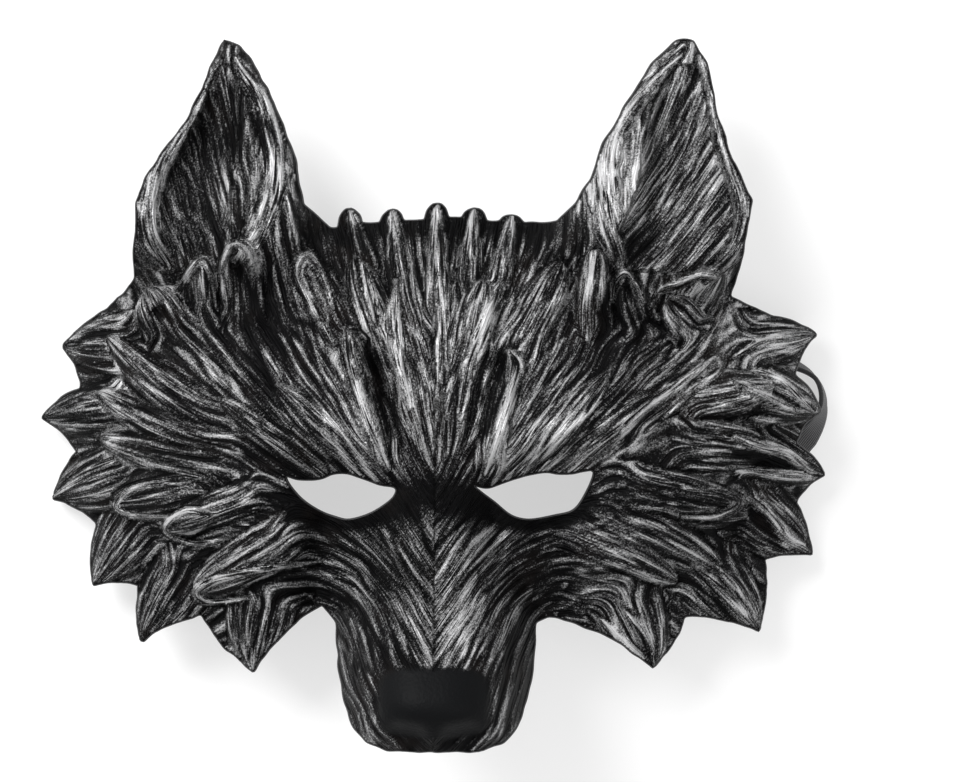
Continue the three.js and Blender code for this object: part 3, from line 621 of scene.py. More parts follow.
def noise(chances, a, b, c):
    """Smooth noise from 0 to 1 over three coordinates."""
    starts = [np.floor(v).astype(np.int64) for v in (a, b, c)]
    shares = [v - start for v, start in zip((a, b, c), starts)]
    shares = [t * t * (3 - 2 * t) for t in shares]
    total = np.zeros_like(a)
    for i in (0, 1):
        for j in (0, 1):
            for k in (0, 1):
                index = (starts[0] + i) * 73856093 ^ (starts[1] + j) * 19349663 ^ (starts[2] + k) * 83492791
                weight = 1.0
                for share, corner in zip(shares, (i, j, k)):
                    weight = weight * (share if corner else 1 - share)
                total += weight * chances[index & (len(chances) - 1)]
    return total


def map_noise(chances, size, level):
    """Noise over the raster, evenly above and below nought, with lumps of this size."""
    return noise(chances, MAP_X / size, MAP_Y / size, np.full_like(MAP_X, level)) - 0.5


def strand_noise(chances, strand, breadth, length, shift=0):
    """Noise drawn out along the strands."""
    return noise(chances, strand / breadth + shift, MAP_X / length, MAP_Y / length)


def between(p0, p1, p2, p3, t):
    """Where a smooth curve through four points is between the middle two."""
    return 0.5 * (2 * p1 + (p2 - p0) * t + (2 * p0 - 5 * p1 + 4 * p2 - p3) * t ** 2
                  + (3 * p1 - p0 - 3 * p2 + p3) * t ** 3)


def spline(points, count):
    """A smooth curve through points, with its places spread by row."""
    points = np.asarray(points)
    extended = np.vstack([2 * points[0] - points[1], points, 2 * points[-1] - points[-2]])
    at = np.linspace(0, len(points) - 1, count)
    row = np.minimum(at.astype(int), len(points) - 2)
    return between(*(extended[row + k] for k in range(4)), (at - row)[:, None]), at


def rough_edges():
    """How far a lock's edge strays, as a share of its half breadth."""
    chances = np.random.default_rng(SEED + 2).random(CHANCES)
    return 0.18 * map_noise(chances, 5, 1.5) + 0.1 * map_noise(chances, 2.2, 5.5)


def cell_slopes(values):
    across = (values[:-1, 1:] - values[:-1, :-1] + values[1:, 1:] - values[1:, :-1]) / 2
    up = (values[1:, :-1] - values[:-1, :-1] + values[1:, 1:] - values[:-1, 1:]) / 2
    return across, up


def gather_slopes(across, up, shape):
    values = np.zeros(shape)
    values[:-1, :-1] -= across + up
    values[:-1, 1:] += across - up
    values[1:, :-1] += up - across
    values[1:, 1:] += across + up
    return values / 2


def strand_field():
    """A field on the raster that is level along the fur and climbs about 1 a millimetre across it."""
    x, y = np.meshgrid(np.arange(0.5, HIGH_X), np.arange(LOW_Y + 0.5, HIGH_Y))
    run_x, run_y = fur_flow(x, y)
    shape = (x.shape[0] + 1, x.shape[1] + 1)

    def apply(values):
        across, up = cell_slopes(values)
        along = STIFFNESS * (across * run_x + up * run_y)
        beside = -across * run_y + up * run_x
        return gather_slopes(along * run_x - beside * run_y, along * run_y + beside * run_x, shape)

    values = np.zeros(shape)
    left = gather_slopes(-run_y, run_x, shape)
    search = left.copy()
    size = (left * left).sum()
    for _ in range(FIELD_ROUNDS):
        pushed = apply(search)
        pace = size / (search * pushed).sum()
        values += pace * search
        left -= pace * pushed
        new_size = (left * left).sum()
        search = left + new_size / size * search
        size = new_size
        if size < FIELD_ERROR:
            break
    field = read_grid(values, np.abs(MAP_X), MAP_Y - LOW_Y)
    middle = float(values[int(FOREHEAD_UP - LOW_Y), 0])
    return np.where(MAP_X < 0, 2 * middle - field, field)


ROUGH = rough_edges()


def raise_lock(height, strand, lock, hold=1.0):
    """Lays one lock over the height raster, and by hold bends the strands so that they meet at its tip."""
    start, end = lock["root"], lock["tip"]
    along, beside, length = beside_line(MAP_X, MAP_Y, start, end)
    breadth = lock["half"] * HALF_WIDTH
    beside = beside - lock["bend"] * length * 4 * along * (1 - along)
    t = np.clip(along, 0, 1)
    taper = (1 - t ** 4.5) ** 0.55 if lock["blunt"] else (1 - t ** 2.6) ** 0.7
    narrow = breadth * taper + 1e-6
    across = (beside + breadth * ROUGH) / narrow
    inside = (along > LOCK_START) & (along < 1) & (np.abs(across) < 1)
    if not inside.any():
        return
    a = across[inside]
    crown = (1 - a * a) ** 0.6 * (1 - lock["cup"] * np.exp(-(a / 0.5) ** 2))
    raised = lock["rise"] * step(LOCK_START, LOCK_FULL, along[inside]) * crown
    higher = raised > height[inside]
    root_x = start[0] * HALF_WIDTH
    root_y = start[1] * FACE_HEIGHT
    side_x = -(end[1] * FACE_HEIGHT - root_y) / length
    side_y = (end[0] * HALF_WIDTH - root_x) / length
    apart = np.array([-2, 0, 2])
    around = sample(strand, root_x + side_x * apart, root_y + side_y * apart)
    turn = 1 if around[2] > around[0] else -1
    share = hold * step(-0.1, 0.25, along[inside]) * higher
    level = (beside / narrow)[inside] * breadth
    strand[inside] += (around[1] + turn * level - strand[inside]) * share
    height[inside] = np.maximum(height[inside], raised)


def raise_fold(height, strand, paint, fold):
    """Adds one curved fold to the height raster, with strands along it and its silver."""
    half, rise, silver, *points = fold
    curve, _ = spline(np.array(points, float), FOLD_POINTS * len(points))
    low = curve.min(axis=0) - 1.5 * half
    high = curve.max(axis=0) + 1.5 * half
    columns = slice(int((low[0] - LOW_X) / RASTER), int((high[0] - LOW_X) / RASTER) + 2)
    rows = slice(int((low[1] - LOW_Y) / RASTER), int((high[1] - LOW_Y) / RASTER) + 2)
    off_x = MAP_X[rows, columns, None] - curve[:, 0]
    off_y = MAP_Y[rows, columns, None] - curve[:, 1]
    away = np.hypot(off_x, off_y)
    nearest = away.argmin(axis=2)
    away = away.min(axis=2)
    run = np.gradient(curve, axis=0)
    run /= np.hypot(run[:, 0], run[:, 1])[:, None]
    off_x = np.take_along_axis(off_x, nearest[..., None], 2)[..., 0]
    off_y = np.take_along_axis(off_y, nearest[..., None], 2)[..., 0]
    side = run[nearest, 0] * off_y - run[nearest, 1] * off_x
    t = 0.03 + 0.94 * nearest / (len(curve) - 1)
    taper = (4 * t * (1 - t)) ** 0.5
    breadth = half * taper * (1.15 + 2.5 * ROUGH[rows, columns])
    profile = np.clip(1 - (away / breadth) ** 2, 0, 1) ** 0.8
    height[rows, columns] += rise * profile * taper
    paint[rows, columns] += silver * profile * (0.8 + 3 * ROUGH[rows, columns])
    if rise > 0 and half < BROAD_FOLD:
        middle = curve[len(curve) // 2]
        level = float(sample(strand, middle[0], middle[1])) + side
        strand[rows, columns] += (level - strand[rows, columns]) * step(0, 0.5, profile)


def lock_rows(rows, rise):
    """Locks from a table. Those with a rise of their own are the face's, and end bluntly."""
    for values in zip(*rows.values()):
        row = dict(zip(rows, values))
        yield {
            "blunt": "rise" in row,
            "root": (row["root_x"], row["root_y"]),
            "tip": (row["tip_x"], row["tip_y"]),
            "half": row["half"],
            "rise": row.get("rise", rise),
            "cup": row.get("cup", 0.0),
            "bend": row.get("bend", 0.0),
        }


def small_locks(random):
    """Pointed clumps that follow the fur, on a jittered grid."""
    for y in np.arange(-70, 150, SMALL_SPACING):
        for x in np.arange(-130, 131, SMALL_SPACING):
            at_x = x + random.uniform(-SMALL_STRAY, SMALL_STRAY)
            at_y = y + random.uniform(-SMALL_STRAY, SMALL_STRAY)
            root = (at_x / HALF_WIDTH, at_y / FACE_HEIGHT)
            length = random.uniform(18, 34)
            side = -1 if at_x < 0 else 1
            for _ in range(SMALL_STEPS):
                run_x, run_y = fur_flow(np.array(abs(at_x)), np.array(at_y))
                at_x += side * float(run_x) * length / SMALL_STEPS
                at_y += float(run_y) * length / SMALL_STEPS
            yield {
                "root": root,
                "tip": (at_x / HALF_WIDTH, at_y / FACE_HEIGHT),
                "half": random.uniform(2.2, 4.2) / HALF_WIDTH,
                "rise": random.uniform(0.8, 2.2),
                "cup": 0.0,
                "bend": random.uniform(-0.06, 0.06),
                "blunt": False,
            }


def ear_strands(strand, hollows, sway, waver):
    """Gives each ear's hollow strands of its own."""
    for side, (lean, turn) in EAR_STRANDS.items():
        up = np.clip(MAP_Y - EAR_FOOT, 0, 80)
        across = MAP_X * side * 0.82 - lean * up + turn * up * up / 2
        inside = (hollows > 0.1) & (MAP_X * side > 0)
        strand = np.where(inside, across + 60 + 1.5 * sway + 0.8 * waver, strand)
    return strand


def bare_share(big):
    """Where there is no fur: under the eyes, and partly on the low rim between the ears."""
    eyelid = np.zeros_like(big)
    for side in EYE_HOLES:
        across = (MAP_X - side * EYE_SPACING / 2) / (EYE_WIDTH * 0.6)
        up = (MAP_Y + 2) / (EYE_OPENING * 0.75)
        lower = 1 - step(0.8, 1.15, np.hypot(across, up))
        eyelid = np.maximum(eyelid, lower * (1 - step(-2.0, 4.0, MAP_Y)))
    rim = step(80, 86, MAP_Y) * (1 - step(36, 46, np.abs(MAP_X))) * (1 - step(0.4, 1.8, big))
    return eyelid, 0.8 * rim


def brush_silver_and_painted_light(detail, big, streaks, paint):
    """Silver catches on crests and high locks, in streaks, on painted folds and on the listed spots; some
    spots add a painted highlight on the muzzle and one a painted shadow in the right ear's hollow.
    """
    close = detail - blur(detail, 1.3)
    wide = big - blur(big, 4.0)
    silver = LEVEL_SILVER + CREST_SILVER * np.tanh(close / 0.4) + LOCK_SILVER * np.tanh(wide / 1.6)
    silver = silver + STREAK_SILVER * streaks + paint
    # Spots: brushed silver, plus a painted highlight on the muzzle and a painted shadow at the foot of the
    # right ear's hollow.
    for spots, across in ((SILVER_AND_HIGHLIGHT_SPOTS, np.abs(MAP_X)), (SIDE_SILVER_HIGHLIGHT_AND_SHADOW, MAP_X)):
        for x, y, radius, amount in zip(*spots.values()):
            away = ((across - x) ** 2 + (MAP_Y - y) ** 2) / radius ** 2
            silver += amount * np.exp(-away)
    return silver


def front_maps():
    """Height of the front in millimetres, with the maps that its paint follows."""
    random = np.random.default_rng(SEED)
    chances = random.random(CHANCES)
    base, hollows = base_form(MAP_X, MAP_Y)
    sway = map_noise(chances, SWAY_LUMPS, 3.3)
    waver = map_noise(chances, WAVER_LUMPS, 8.3)
    strand = ear_strands(strand_field() + (SWAY * sway + WAVER * waver), hollows, sway, waver)
    big = np.zeros_like(base)
    groups = ((LEFT_TUFTS, TUFT_RISE), (RIGHT_TUFTS, TUFT_RISE), (LOCKS, None), (CREST_TIPS, CREST_RISE))
    for rows, rise in groups:
        for lock in lock_rows(rows, rise):
            raise_lock(big, strand, lock)
    paint = np.zeros_like(base)
    for fold in FOLDS:
        raise_fold(big, strand, paint, fold)
    nose = nose_share(MAP_X, MAP_Y)
    eyelid, rim = bare_share(big)
    furry = (1 - nose) * (1 - eyelid) * (1 - rim)
    small = np.zeros_like(base)
    for lock in small_locks(random):
        raise_lock(small, strand, lock, 0.0)
    small *= (1 - 0.95 * hollows) * (1 - 0.7 * step(1.0, 4.0, big))
    crossing = strand + (2.6 - 1.6 * hollows) * map_noise(chances, 11, 4.4)
    cords = strand_noise(chances, strand, CORD_BREADTH, CORD_LENGTH)
    hairs = strand_noise(chances, crossing, HAIR_BREADTH, HAIR_LENGTH, 50)
    streaks = strand_noise(chances, strand, STREAK_BREADTH, STREAK_LENGTH, 90) - 0.5
    cords = np.minimum(2.4 * np.abs(2 * cords - 1), 1) ** 0.6
    hairs = np.maximum(1 - 2.2 * np.abs(2 * hairs - 1), 0)
    detail = SMALL_RISE * small + (CORD_RISE - 0.7 * hollows) * cords + HAIR_RISE * hairs
    silver = brush_silver_and_painted_light(detail, big, streaks, paint) * (1 - 0.3 * hollows)
    return {
        "height": base + big * (1 - nose) + detail * furry,
        "silver": np.clip(silver, 0, 1.2) * furry,
        "nose": nose,
        "strand": strand,
    }


def back_map(height):
    """The back keeps at least the wall away from the front, as a ball rolled under it would."""
    reach = int(WALL / RASTER)
    back = height - WALL
    for row in range(-reach, reach + 1, 2):
        for column in range(-reach, reach + 1, 2):
            away = math.hypot(row, column) * RASTER
            if away < WALL:
                moved = np.roll(height, (row, column), (0, 1))
                back = np.minimum(back, moved - math.sqrt(WALL ** 2 - away ** 2))
    return blur(back, 1.6) - 0.5


# Outlines

def bow_to(points, end, bow):
    start = points[-1]
    end = np.array([end[0] * HALF_WIDTH, end[1] * FACE_HEIGHT])
    run = end - start
    control = (start + end) / 2 + np.array([run[1], -run[0]]) * bow * 2
    for t in np.linspace(0, 1, 9)[1:]:
        points.append((1 - t) ** 2 * start + 2 * t * (1 - t) * control + t * t * end)


def line_to(points, across, up):
    bow_to(points, (across, up), 0)


def mask_outline():
    points = [np.array([CREST_START[0] * HALF_WIDTH, CREST_START[1] * FACE_HEIGHT])]
    rim = CREST_START[1]
    for _, _, tip_x, tip_y, notch_x, notch_y, _ in zip(*CREST_TIPS.values()):
        for across, up in KNOB:
            foot = rim if across > 0 else notch_y
            line_to(points, tip_x + across, foot + (tip_y - foot) * up)
        line_to(points, notch_x, notch_y)
        rim = notch_y
    over_rim = LEFT_EAR["up"] > CREST_START[1]
    for inner, up in zip(LEFT_EAR["inner"][over_rim], LEFT_EAR["up"][over_rim]):
        line_to(points, -inner, up)
    for outer, up in zip(LEFT_EAR["outer"][::-1], LEFT_EAR["up"][::-1]):
        line_to(points, -outer, up)
    bow_to(points, LEFT_TEMPLE, 0)
    for row in zip(*LEFT_TUFTS.values()):
        bow_to(points, row[2:4], TUFT_BOW)
        bow_to(points, row[4:6], -TUFT_BOW)
    muzzle = MUZZLE_HALF_WIDTH / HALF_WIDTH
    for half, up in zip(LIP_ROWS["half"], LIP_ROWS["up"]):
        line_to(points, -half * muzzle, up)
    for half, up in zip(LIP_ROWS["half"][::-1], LIP_ROWS["up"][::-1]):
        line_to(points, half * muzzle, up)
    bow = 0
    for row in list(zip(*RIGHT_TUFTS.values()))[::-1]:
        bow_to(points, row[4:6], bow)
        bow_to(points, row[2:4], -TUFT_BOW)
        bow = TUFT_BOW
    bow_to(points, RIGHT_TEMPLE, TUFT_BOW)
    for outer, up in zip(RIGHT_EAR["outer"], RIGHT_EAR["up"]):
        line_to(points, outer, up)
    over_rim = RIGHT_EAR["up"] > CREST_START[1]
    for inner, up in zip(RIGHT_EAR["inner"][over_rim][::-1], RIGHT_EAR["up"][over_rim][::-1]):
        line_to(points, inner, up)
    bow_to(points, CREST_START, 0)
    return np.array(points[:-1])


def eye_outline(points):
    points = np.array(points)
    count = len(points)
    smooth = []
    for i in range(count):
        around = [points[(i + k) % count] for k in (-1, 0, 1, 2)]
        for t in np.linspace(0, 1, 8, endpoint=False):
            smooth.append(between(*around, t))
    return np.array(smooth)


def resample(points, spacing):
    closed = np.vstack([points, points[:1]])
    lengths = np.hypot(*np.diff(closed, axis=0).T)
    keep = np.concatenate([[True], lengths > 1e-6])
    closed = closed[keep]
    at = np.concatenate([[0], np.cumsum(np.hypot(*np.diff(closed, axis=0).T))])
    count = int(at[-1] / spacing)
    where = np.linspace(0, at[-1], count, endpoint=False)
    return np.column_stack([np.interp(where, at, closed[:, 0]), np.interp(where, at, closed[:, 1])])


def soften(points, radius, spacing):
    """Rounds the corners of a closed outline."""
    rate = np.fft.fftfreq(len(points), spacing)
    filtered = np.exp(-2 * (np.pi * radius * rate) ** 2)[:, None]
    return np.real(np.fft.ifft(np.fft.fft(points, axis=0) * filtered, axis=0))


def outline_normals(points):
    run = np.roll(points, -1, axis=0) - np.roll(points, 1, axis=0)
    run /= np.hypot(run[:, 0], run[:, 1])[:, None] + 1e-9
    return np.column_stack([run[:, 1], -run[:, 0]])


def make_outlines():
    """The outer outline counter-clockwise, and the two eyes clockwise, with the mask on the left."""
    random = np.random.default_rng(SEED + 1)
    outer = soften(resample(mask_outline(), OUTLINE_SPACING), OUTER_ROUNDING, OUTLINE_SPACING)
    rough = soften(random.standard_normal((len(outer), 1)), STRAY_LUMPS, OUTLINE_SPACING)
    outer = outer + outline_normals(outer) * np.clip(even(rough) * STRAY, -0.4, 0.3)
    outlines = [outer]
    for rim in EYE_HOLES.values():
        outlines.append(soften(resample(eye_outline(rim), OUTLINE_SPACING), EYE_ROUNDING, OUTLINE_SPACING))
    return outlines


def inside_outline(x, y, outline):
    """Even-odd test for a grid given by its two axes."""
    inside = np.zeros((len(y), len(x)), bool)
    start = outline
    end = np.roll(outline, -1, axis=0)
    for i, level in enumerate(y):
        crossing = (start[:, 1] <= level) != (end[:, 1] <= level)
        a = start[crossing]
        b = end[crossing]
        at = np.sort(a[:, 0] + (level - a[:, 1]) / (b[:, 1] - a[:, 1]) * (b[:, 0] - a[:, 0]))
        inside[i] = np.searchsorted(at, x) % 2 == 1
    return inside


def nearest_on(outline, places):
    """Arc place of the nearest point of an outline, in steps of its points, and the distance."""
    start = outline
    run = np.roll(outline, -1, axis=0) - outline
    square = (run ** 2).sum(axis=1)
    where = np.empty(len(places))
    away = np.empty(len(places))
    batch = 400
    for i in range(0, len(places), batch):
        some = places[i:i + batch]
        off = some[:, None, :] - start[None]
        t = np.clip((off * run[None]).sum(axis=2) / square, 0, 1)
        gap = np.hypot(*(off - t[..., None] * run[None]).transpose(2, 0, 1))
        best = gap.argmin(axis=1)
        rows = np.arange(len(some))
        where[i:i + batch] = best + t[rows, best]
        away[i:i + batch] = gap[rows, best]
    return where, away


def point_on(outline, where):
    where = np.mod(where, len(outline))
    low = where.astype(int) % len(outline)
    share = (where - np.floor(where))[:, None]
    return outline[low] * (1 - share) + outline[(low + 1) % len(outline)] * share


# Meshes

def mend_corners(keep):
    """Fills cells until no two meet at a corner alone."""
    while True:
        a, b = keep[:-1, :-1], keep[:-1, 1:]
        c, d = keep[1:, :-1], keep[1:, 1:]
        first = a & d & ~b & ~c
        second = b & c & ~a & ~d
        if not first.any() and not second.any():
            return keep
        keep[:-1, 1:] |= first
        keep[:-1, :-1] |= second


def drop_spurs(keep):
    padded = np.pad(keep, 1)
    friends = (padded[:-2, 1:-1].astype(int) + padded[2:, 1:-1] + padded[1:-1, :-2] + padded[1:-1, 2:])
    return keep & (friends > 1)


class Region:
    """A grid cut to the outlines: places, quads, and one loop with arc places for each outline."""

    def __init__(self, cell, outlines):
        x = np.arange(LOW_X, HIGH_X, cell)
        y = np.arange(LOW_Y, HIGH_Y, cell)
        middle_x = (x[1:] + x[:-1]) / 2
        middle_y = (y[1:] + y[:-1]) / 2
        keep = inside_outline(middle_x, middle_y, outlines[0])
        for eye in outlines[1:]:
            keep &= ~inside_outline(middle_x, middle_y, eye)
        keep = mend_corners(drop_spurs(keep))
        count = len(x)
        row, column = np.nonzero(keep)
        first = row * count + column
        quads = np.column_stack([first, first + 1, first + 1 + count, first + count])
        used, packed = np.unique(quads, return_inverse=True)
        self.quads = packed.reshape(quads.shape)
        self.places = np.column_stack([x[used % count], y[used // count]])
        self.edges = np.vstack([self.quads[:, [i, (i + 1) % 4]] for i in range(4)])
        self.loops = self.find_loops(outlines)
        self.relax(6)

    def find_loops(self, outlines):
        total = len(self.places)
        code = self.edges[:, 0] * total + self.edges[:, 1]
        back = self.edges[:, 1] * total + self.edges[:, 0]
        rim = self.edges[~np.isin(code, back)]
        follow = dict(zip(rim[:, 0].tolist(), rim[:, 1].tolist()))
        chains = []
        while follow:
            start, at = follow.popitem()
            chain = [start]
            while at != start:
                chain.append(at)
                at = follow.pop(at)
            chains.append(np.array(chain))
        chains.sort(key=len, reverse=True)
        loops = [None] * len(outlines)
        for chain in chains[:len(outlines)]:
            gaps = [nearest_on(outline, self.places[chain[::7]])[1].mean() for outline in outlines]
            pick = int(np.argmin(gaps))
            outline = outlines[pick]
            loops[pick] = (chain, self.settle(chain, outline))
        return loops

    def settle(self, chain, outline):
        """Moves a loop onto its outline, evenly, and returns its arc places."""
        size = len(outline)
        where, _ = nearest_on(outline, self.places[chain])
        gap = np.diff(where, append=where[:1])
        gap = (gap + size / 2) % size - size / 2
        where = where[0] + np.concatenate([[0], np.cumsum(gap)[:-1]])
        for _ in range(3):
            before = np.concatenate([[where[-1] - size], where[:-1]])
            after = np.concatenate([where[1:], [where[0] + size]])
            where = 0.5 * where + 0.25 * (before + after)
        where = np.maximum.accumulate(where)
        self.places[chain] = point_on(outline, where)
        return where

    def relax(self, rounds):
        """Evens out the cells next to the loops."""
        total = len(self.places)
        fixed = np.zeros(total, bool)
        for chain, _ in self.loops:
            fixed[chain] = True
        near = fixed.copy()
        for _ in range(3):
            spread = near.copy()
            np.logical_or.at(spread, self.edges[:, 0], near[self.edges[:, 1]])
            near = spread
        free = near & ~fixed
        ends = np.vstack([self.edges, self.edges[:, ::-1]])
        number = np.bincount(ends[:, 0], minlength=total)
        for _ in range(rounds):
            mean = np.column_stack([
                np.bincount(ends[:, 0], self.places[ends[:, 1], k], total) / number for k in (0, 1)
            ])
            self.places[free] = 0.5 * self.places[free] + 0.5 * mean[free]


def zip_loops(upper, upper_at, lower, lower_at):
    """Triangles between two loops that run the same way round, by their arc places."""
    faces = []
    i = j = 0
    n, m = len(upper), len(lower)
    while i < n or j < m:
        next_upper = upper_at[i + 1] if i + 1 < n else (upper_at[0] + 1 if i < n else math.inf)
        next_lower = lower_at[j + 1] if j + 1 < m else (lower_at[0] + 1 if j < m else math.inf)
        if next_upper <= next_lower:
            faces.append((upper[(i + 1) % n], upper[i % n], lower[j % m]))
            i += 1
        else:
            faces.append((upper[i % n], lower[j % m], lower[(j + 1) % m]))
            j += 1
    return faces


def loop_in_order(chain, where, size):
    """Starts a loop at its lowest arc place, and gives arc places from 0 to 1."""
    share = np.mod(where / size, 1.0)
    start = int(share.argmin())
    chain = np.roll(chain, -start)
    share = np.roll(share, -start)
    share = np.maximum.accumulate(share)
    return chain, share


def mask_mesh(maps, back, outlines):
    front = Region(FRONT_CELL, outlines)
    rear = Region(BACK_CELL, outlines)
    front_z = sample(maps["height"], front.places[:, 0], front.places[:, 1])
    _, inward = nearest_on(outlines[0], rear.places)
    for eye in outlines[1:]:
        inward = np.minimum(inward, nearest_on(eye, rear.places)[1])
    surface = sample(maps["height"], rear.places[:, 0], rear.places[:, 1])
    rear_z = sample(back, rear.places[:, 0], rear.places[:, 1])
    rear_z = np.maximum(rear_z, surface - WALL * 1.25 - 2.5 * inward)
    rear_z = np.maximum(rear_z, 0)
    front_z = np.maximum(front_z, EDGE_LIFT)
    places = [np.column_stack([front.places, front_z]), np.column_stack([rear.places, rear_z])]
    faces = [tuple(quad) for quad in front.quads.tolist()]
    shift = len(front.places)
    faces += [tuple(shift + v for v in quad[::-1]) for quad in rear.quads.tolist()]
    front_faces = len(front.quads)
    total = shift + len(rear.places)
    for number, outline in enumerate(outlines):
        chain, share = loop_in_order(*front.loops[number], len(outline))
        low_chain, low_share = loop_in_order(*rear.loops[number], len(outline))
        low_z = rear_z[low_chain]
        wrapped_share = np.concatenate([low_share[-1:] - 1, low_share, low_share[:1] + 1])
        wrapped_z = np.concatenate([low_z[-1:], low_z, low_z[:1]])
        under = np.interp(share, wrapped_share, wrapped_z)
        edge = front.places[chain]
        out = outline_normals(outline)[np.round(share * len(outline)).astype(int) % len(outline)]
        above = chain
        for depth in EDGE_RINGS:
            z = front_z[chain] + (under - front_z[chain]) * depth
            places.append(np.column_stack([edge + out * EDGE_BULGE, z]))
            ring = total + np.arange(len(chain))
            total += len(chain)
            after = np.roll(ring, -1)
            above_after = np.roll(above, -1)
            faces += list(zip(above_after.tolist(), above.tolist(), ring.tolist(), after.tolist()))
            above = ring
        faces += zip_loops(above.tolist(), share, (low_chain + shift).tolist(), low_share)
    return np.vstack(places), faces, front, front_faces


def add_object(name, data):
    thing = bpy.data.objects.new(name, data)
    bpy.context.scene.collection.objects.link(thing)
    return thing


def new_mesh(name, places, faces):
    """Makes an object of places in millimetres in the mask's own frame."""
    mesh = bpy.data.meshes.new(name)
    moved = (np.asarray(places) + OFFSET) / 1000
    mesh.from_pydata(moved.tolist(), [], faces)
    mesh.validate()
    mesh.shade_smooth()
    return add_object(name, mesh)


def add_values(mesh, name, values):
    layer = mesh.attributes.new(name, "FLOAT", "POINT")
    layer.data.foreach_set("value", values.astype(np.float32))


# Materials

class Nodes:
    """Short calls for building a node material."""

    def __init__(self, name):
        self.material = bpy.data.materials.new(name)
        self.material.use_nodes = True
        self.tree = self.material.node_tree
        self.shader = self.tree.nodes["Principled BSDF"]

    def add(self, kind, **settings):
        node = self.tree.nodes.new(kind)
        for key, value in settings.items():
            setattr(node, key, value)
        return node

    def put(self, socket, value):
        if isinstance(value, bpy.types.NodeSocket):
            self.tree.links.new(value, socket)
        else:
            socket.default_value = value

    def finish(self, name, value):
        self.put(self.shader.inputs[name], value)

    def split(self, vector):
        node = self.add("ShaderNodeSeparateXYZ")
        self.put(node.inputs[0], vector)
        return node.outputs

    def math(self, operation, a, b=0.0, c=0.0):
        node = self.add("ShaderNodeMath", operation=operation)
        for socket, value in zip(node.inputs, (a, b, c)):
            self.put(socket, value)
        return node.outputs[0]

    def noise(self, vector, scale, detail=2.0, roughness=0.5):
        node = self.add("ShaderNodeTexNoise")
        self.put(node.inputs["Vector"], vector)
        node.inputs["Scale"].default_value = scale
        node.inputs["Detail"].default_value = detail
        node.inputs["Roughness"].default_value = roughness
        return node.outputs["Fac"]

    def value(self, name):
        return self.add("ShaderNodeAttribute", attribute_name=name).outputs["Fac"]

    def place(self):
        return self.add("ShaderNodeTexCoord").outputs["Object"]

    def ramp(self, value, low, high, low_out=0.0, high_out=1.0):
        node = self.add("ShaderNodeMapRange", interpolation_type="SMOOTHSTEP")
        for key, number in (("From Min", low), ("From Max", high), ("To Min", low_out), ("To Max", high_out)):
            node.inputs[key].default_value = number
        self.put(node.inputs["Value"], value)
        return node.outputs["Result"]

    def blend(self, share, a, b):
        node = self.add("ShaderNodeMix", data_type="RGBA")
        self.put(node.inputs[0], share)
        self.put(node.inputs[6], a)
        self.put(node.inputs[7], b)
        return node.outputs[2]

    def bump(self, height, distance, strength=1.0):
        node = self.add("ShaderNodeBump")
        node.inputs["Strength"].default_value = strength
        node.inputs["Distance"].default_value = distance
        self.put(node.inputs["Height"], height)
        self.finish("Normal", node.outputs["Normal"])


def fur_material():
    nodes = Nodes("dry_brushed_foam")
    place = nodes.place()
    axes = nodes.split(place)
    strand = nodes.value("strand")

    def lines(breadth, length, shift):
        joined = nodes.add("ShaderNodeCombineXYZ")
        nodes.put(joined.inputs[0], nodes.math("MULTIPLY_ADD", strand, 1 / breadth, shift))
        for i in (0, 1):
            nodes.put(joined.inputs[i + 1], nodes.math("MULTIPLY", axes[i], 1000 / length))
        return nodes.noise(joined.outputs[0], 1.0, 1.0, 0.4)

    def crests(value, sharpness):
        """1 along the middle of a noise, falling to nought on both sides."""
        away = nodes.math("ABSOLUTE", nodes.math("SUBTRACT", value, 0.5))
        return nodes.math("MAXIMUM", nodes.math("MULTIPLY_ADD", away, -2 * sharpness, 1.0), 0.0)

    # The silver share also holds the painted highlight on the muzzle and the painted shadow in the right
    # ear's hollow.
    silver = nodes.value("silver")
    loose = crests(lines(*LOOSE_HAIRS), 3.2)
    thin = crests(lines(*THIN_HAIRS), 3.4)
    fine = nodes.math("MAXIMUM", loose, nodes.math("MULTIPLY", thin, 0.7))
    grain = nodes.noise(place, FOAM_GRAIN, 3.0, 0.8)
    patch = nodes.noise(place, 55.0, 2.0)
    relief = nodes.math("MULTIPLY_ADD", thin, 0.6, loose)
    caught = nodes.math("MULTIPLY", silver, nodes.math("MULTIPLY_ADD", fine, HAIR_CATCH, BETWEEN_CATCH))
    for unevenness, amount in ((grain, SPECKLE), (patch, PATCHES)):
        caught = nodes.math("MULTIPLY_ADD", nodes.math("SUBTRACT", unevenness, 0.5), amount, caught)
    bare = nodes.ramp(silver, 0.02, 0.15)
    share = nodes.math("POWER", nodes.ramp(caught, 0.1, 1.0), 1.5)
    share = nodes.math("MULTIPLY", share, bare)
    dark = nodes.blend(nodes.ramp(nodes.noise(place, 70.0, 2.0), 0.5, 0.75), FOAM_BLACK, FOAM_WARM)
    colour = nodes.blend(share, dark, SILVER)
    nose = nodes.value("nose")
    nodes.finish("Base Color", nodes.blend(nose, colour, NOSE_BLACK))
    nodes.finish("Metallic", nodes.math("MULTIPLY", share, SILVER_METAL))
    nodes.finish("Roughness", nodes.math("MULTIPLY_ADD", share, -SILVER_SMOOTHER, FOAM_ROUGHNESS))
    nodes.finish("Specular IOR Level", FOAM_SHINE)
    relief = nodes.math("MULTIPLY_ADD", grain, 0.3, relief)
    pebble = nodes.noise(place, NOSE_GRAIN, 2.0)
    mixed = nodes.add("ShaderNodeMix", data_type="FLOAT")
    nodes.put(mixed.inputs[0], nose)
    nodes.put(mixed.inputs[2], relief)
    nodes.put(mixed.inputs[3], nodes.math("MULTIPLY", pebble, 0.3))
    nodes.bump(mixed.outputs[0], FUR_BUMP, 0.9)
    return nodes.material


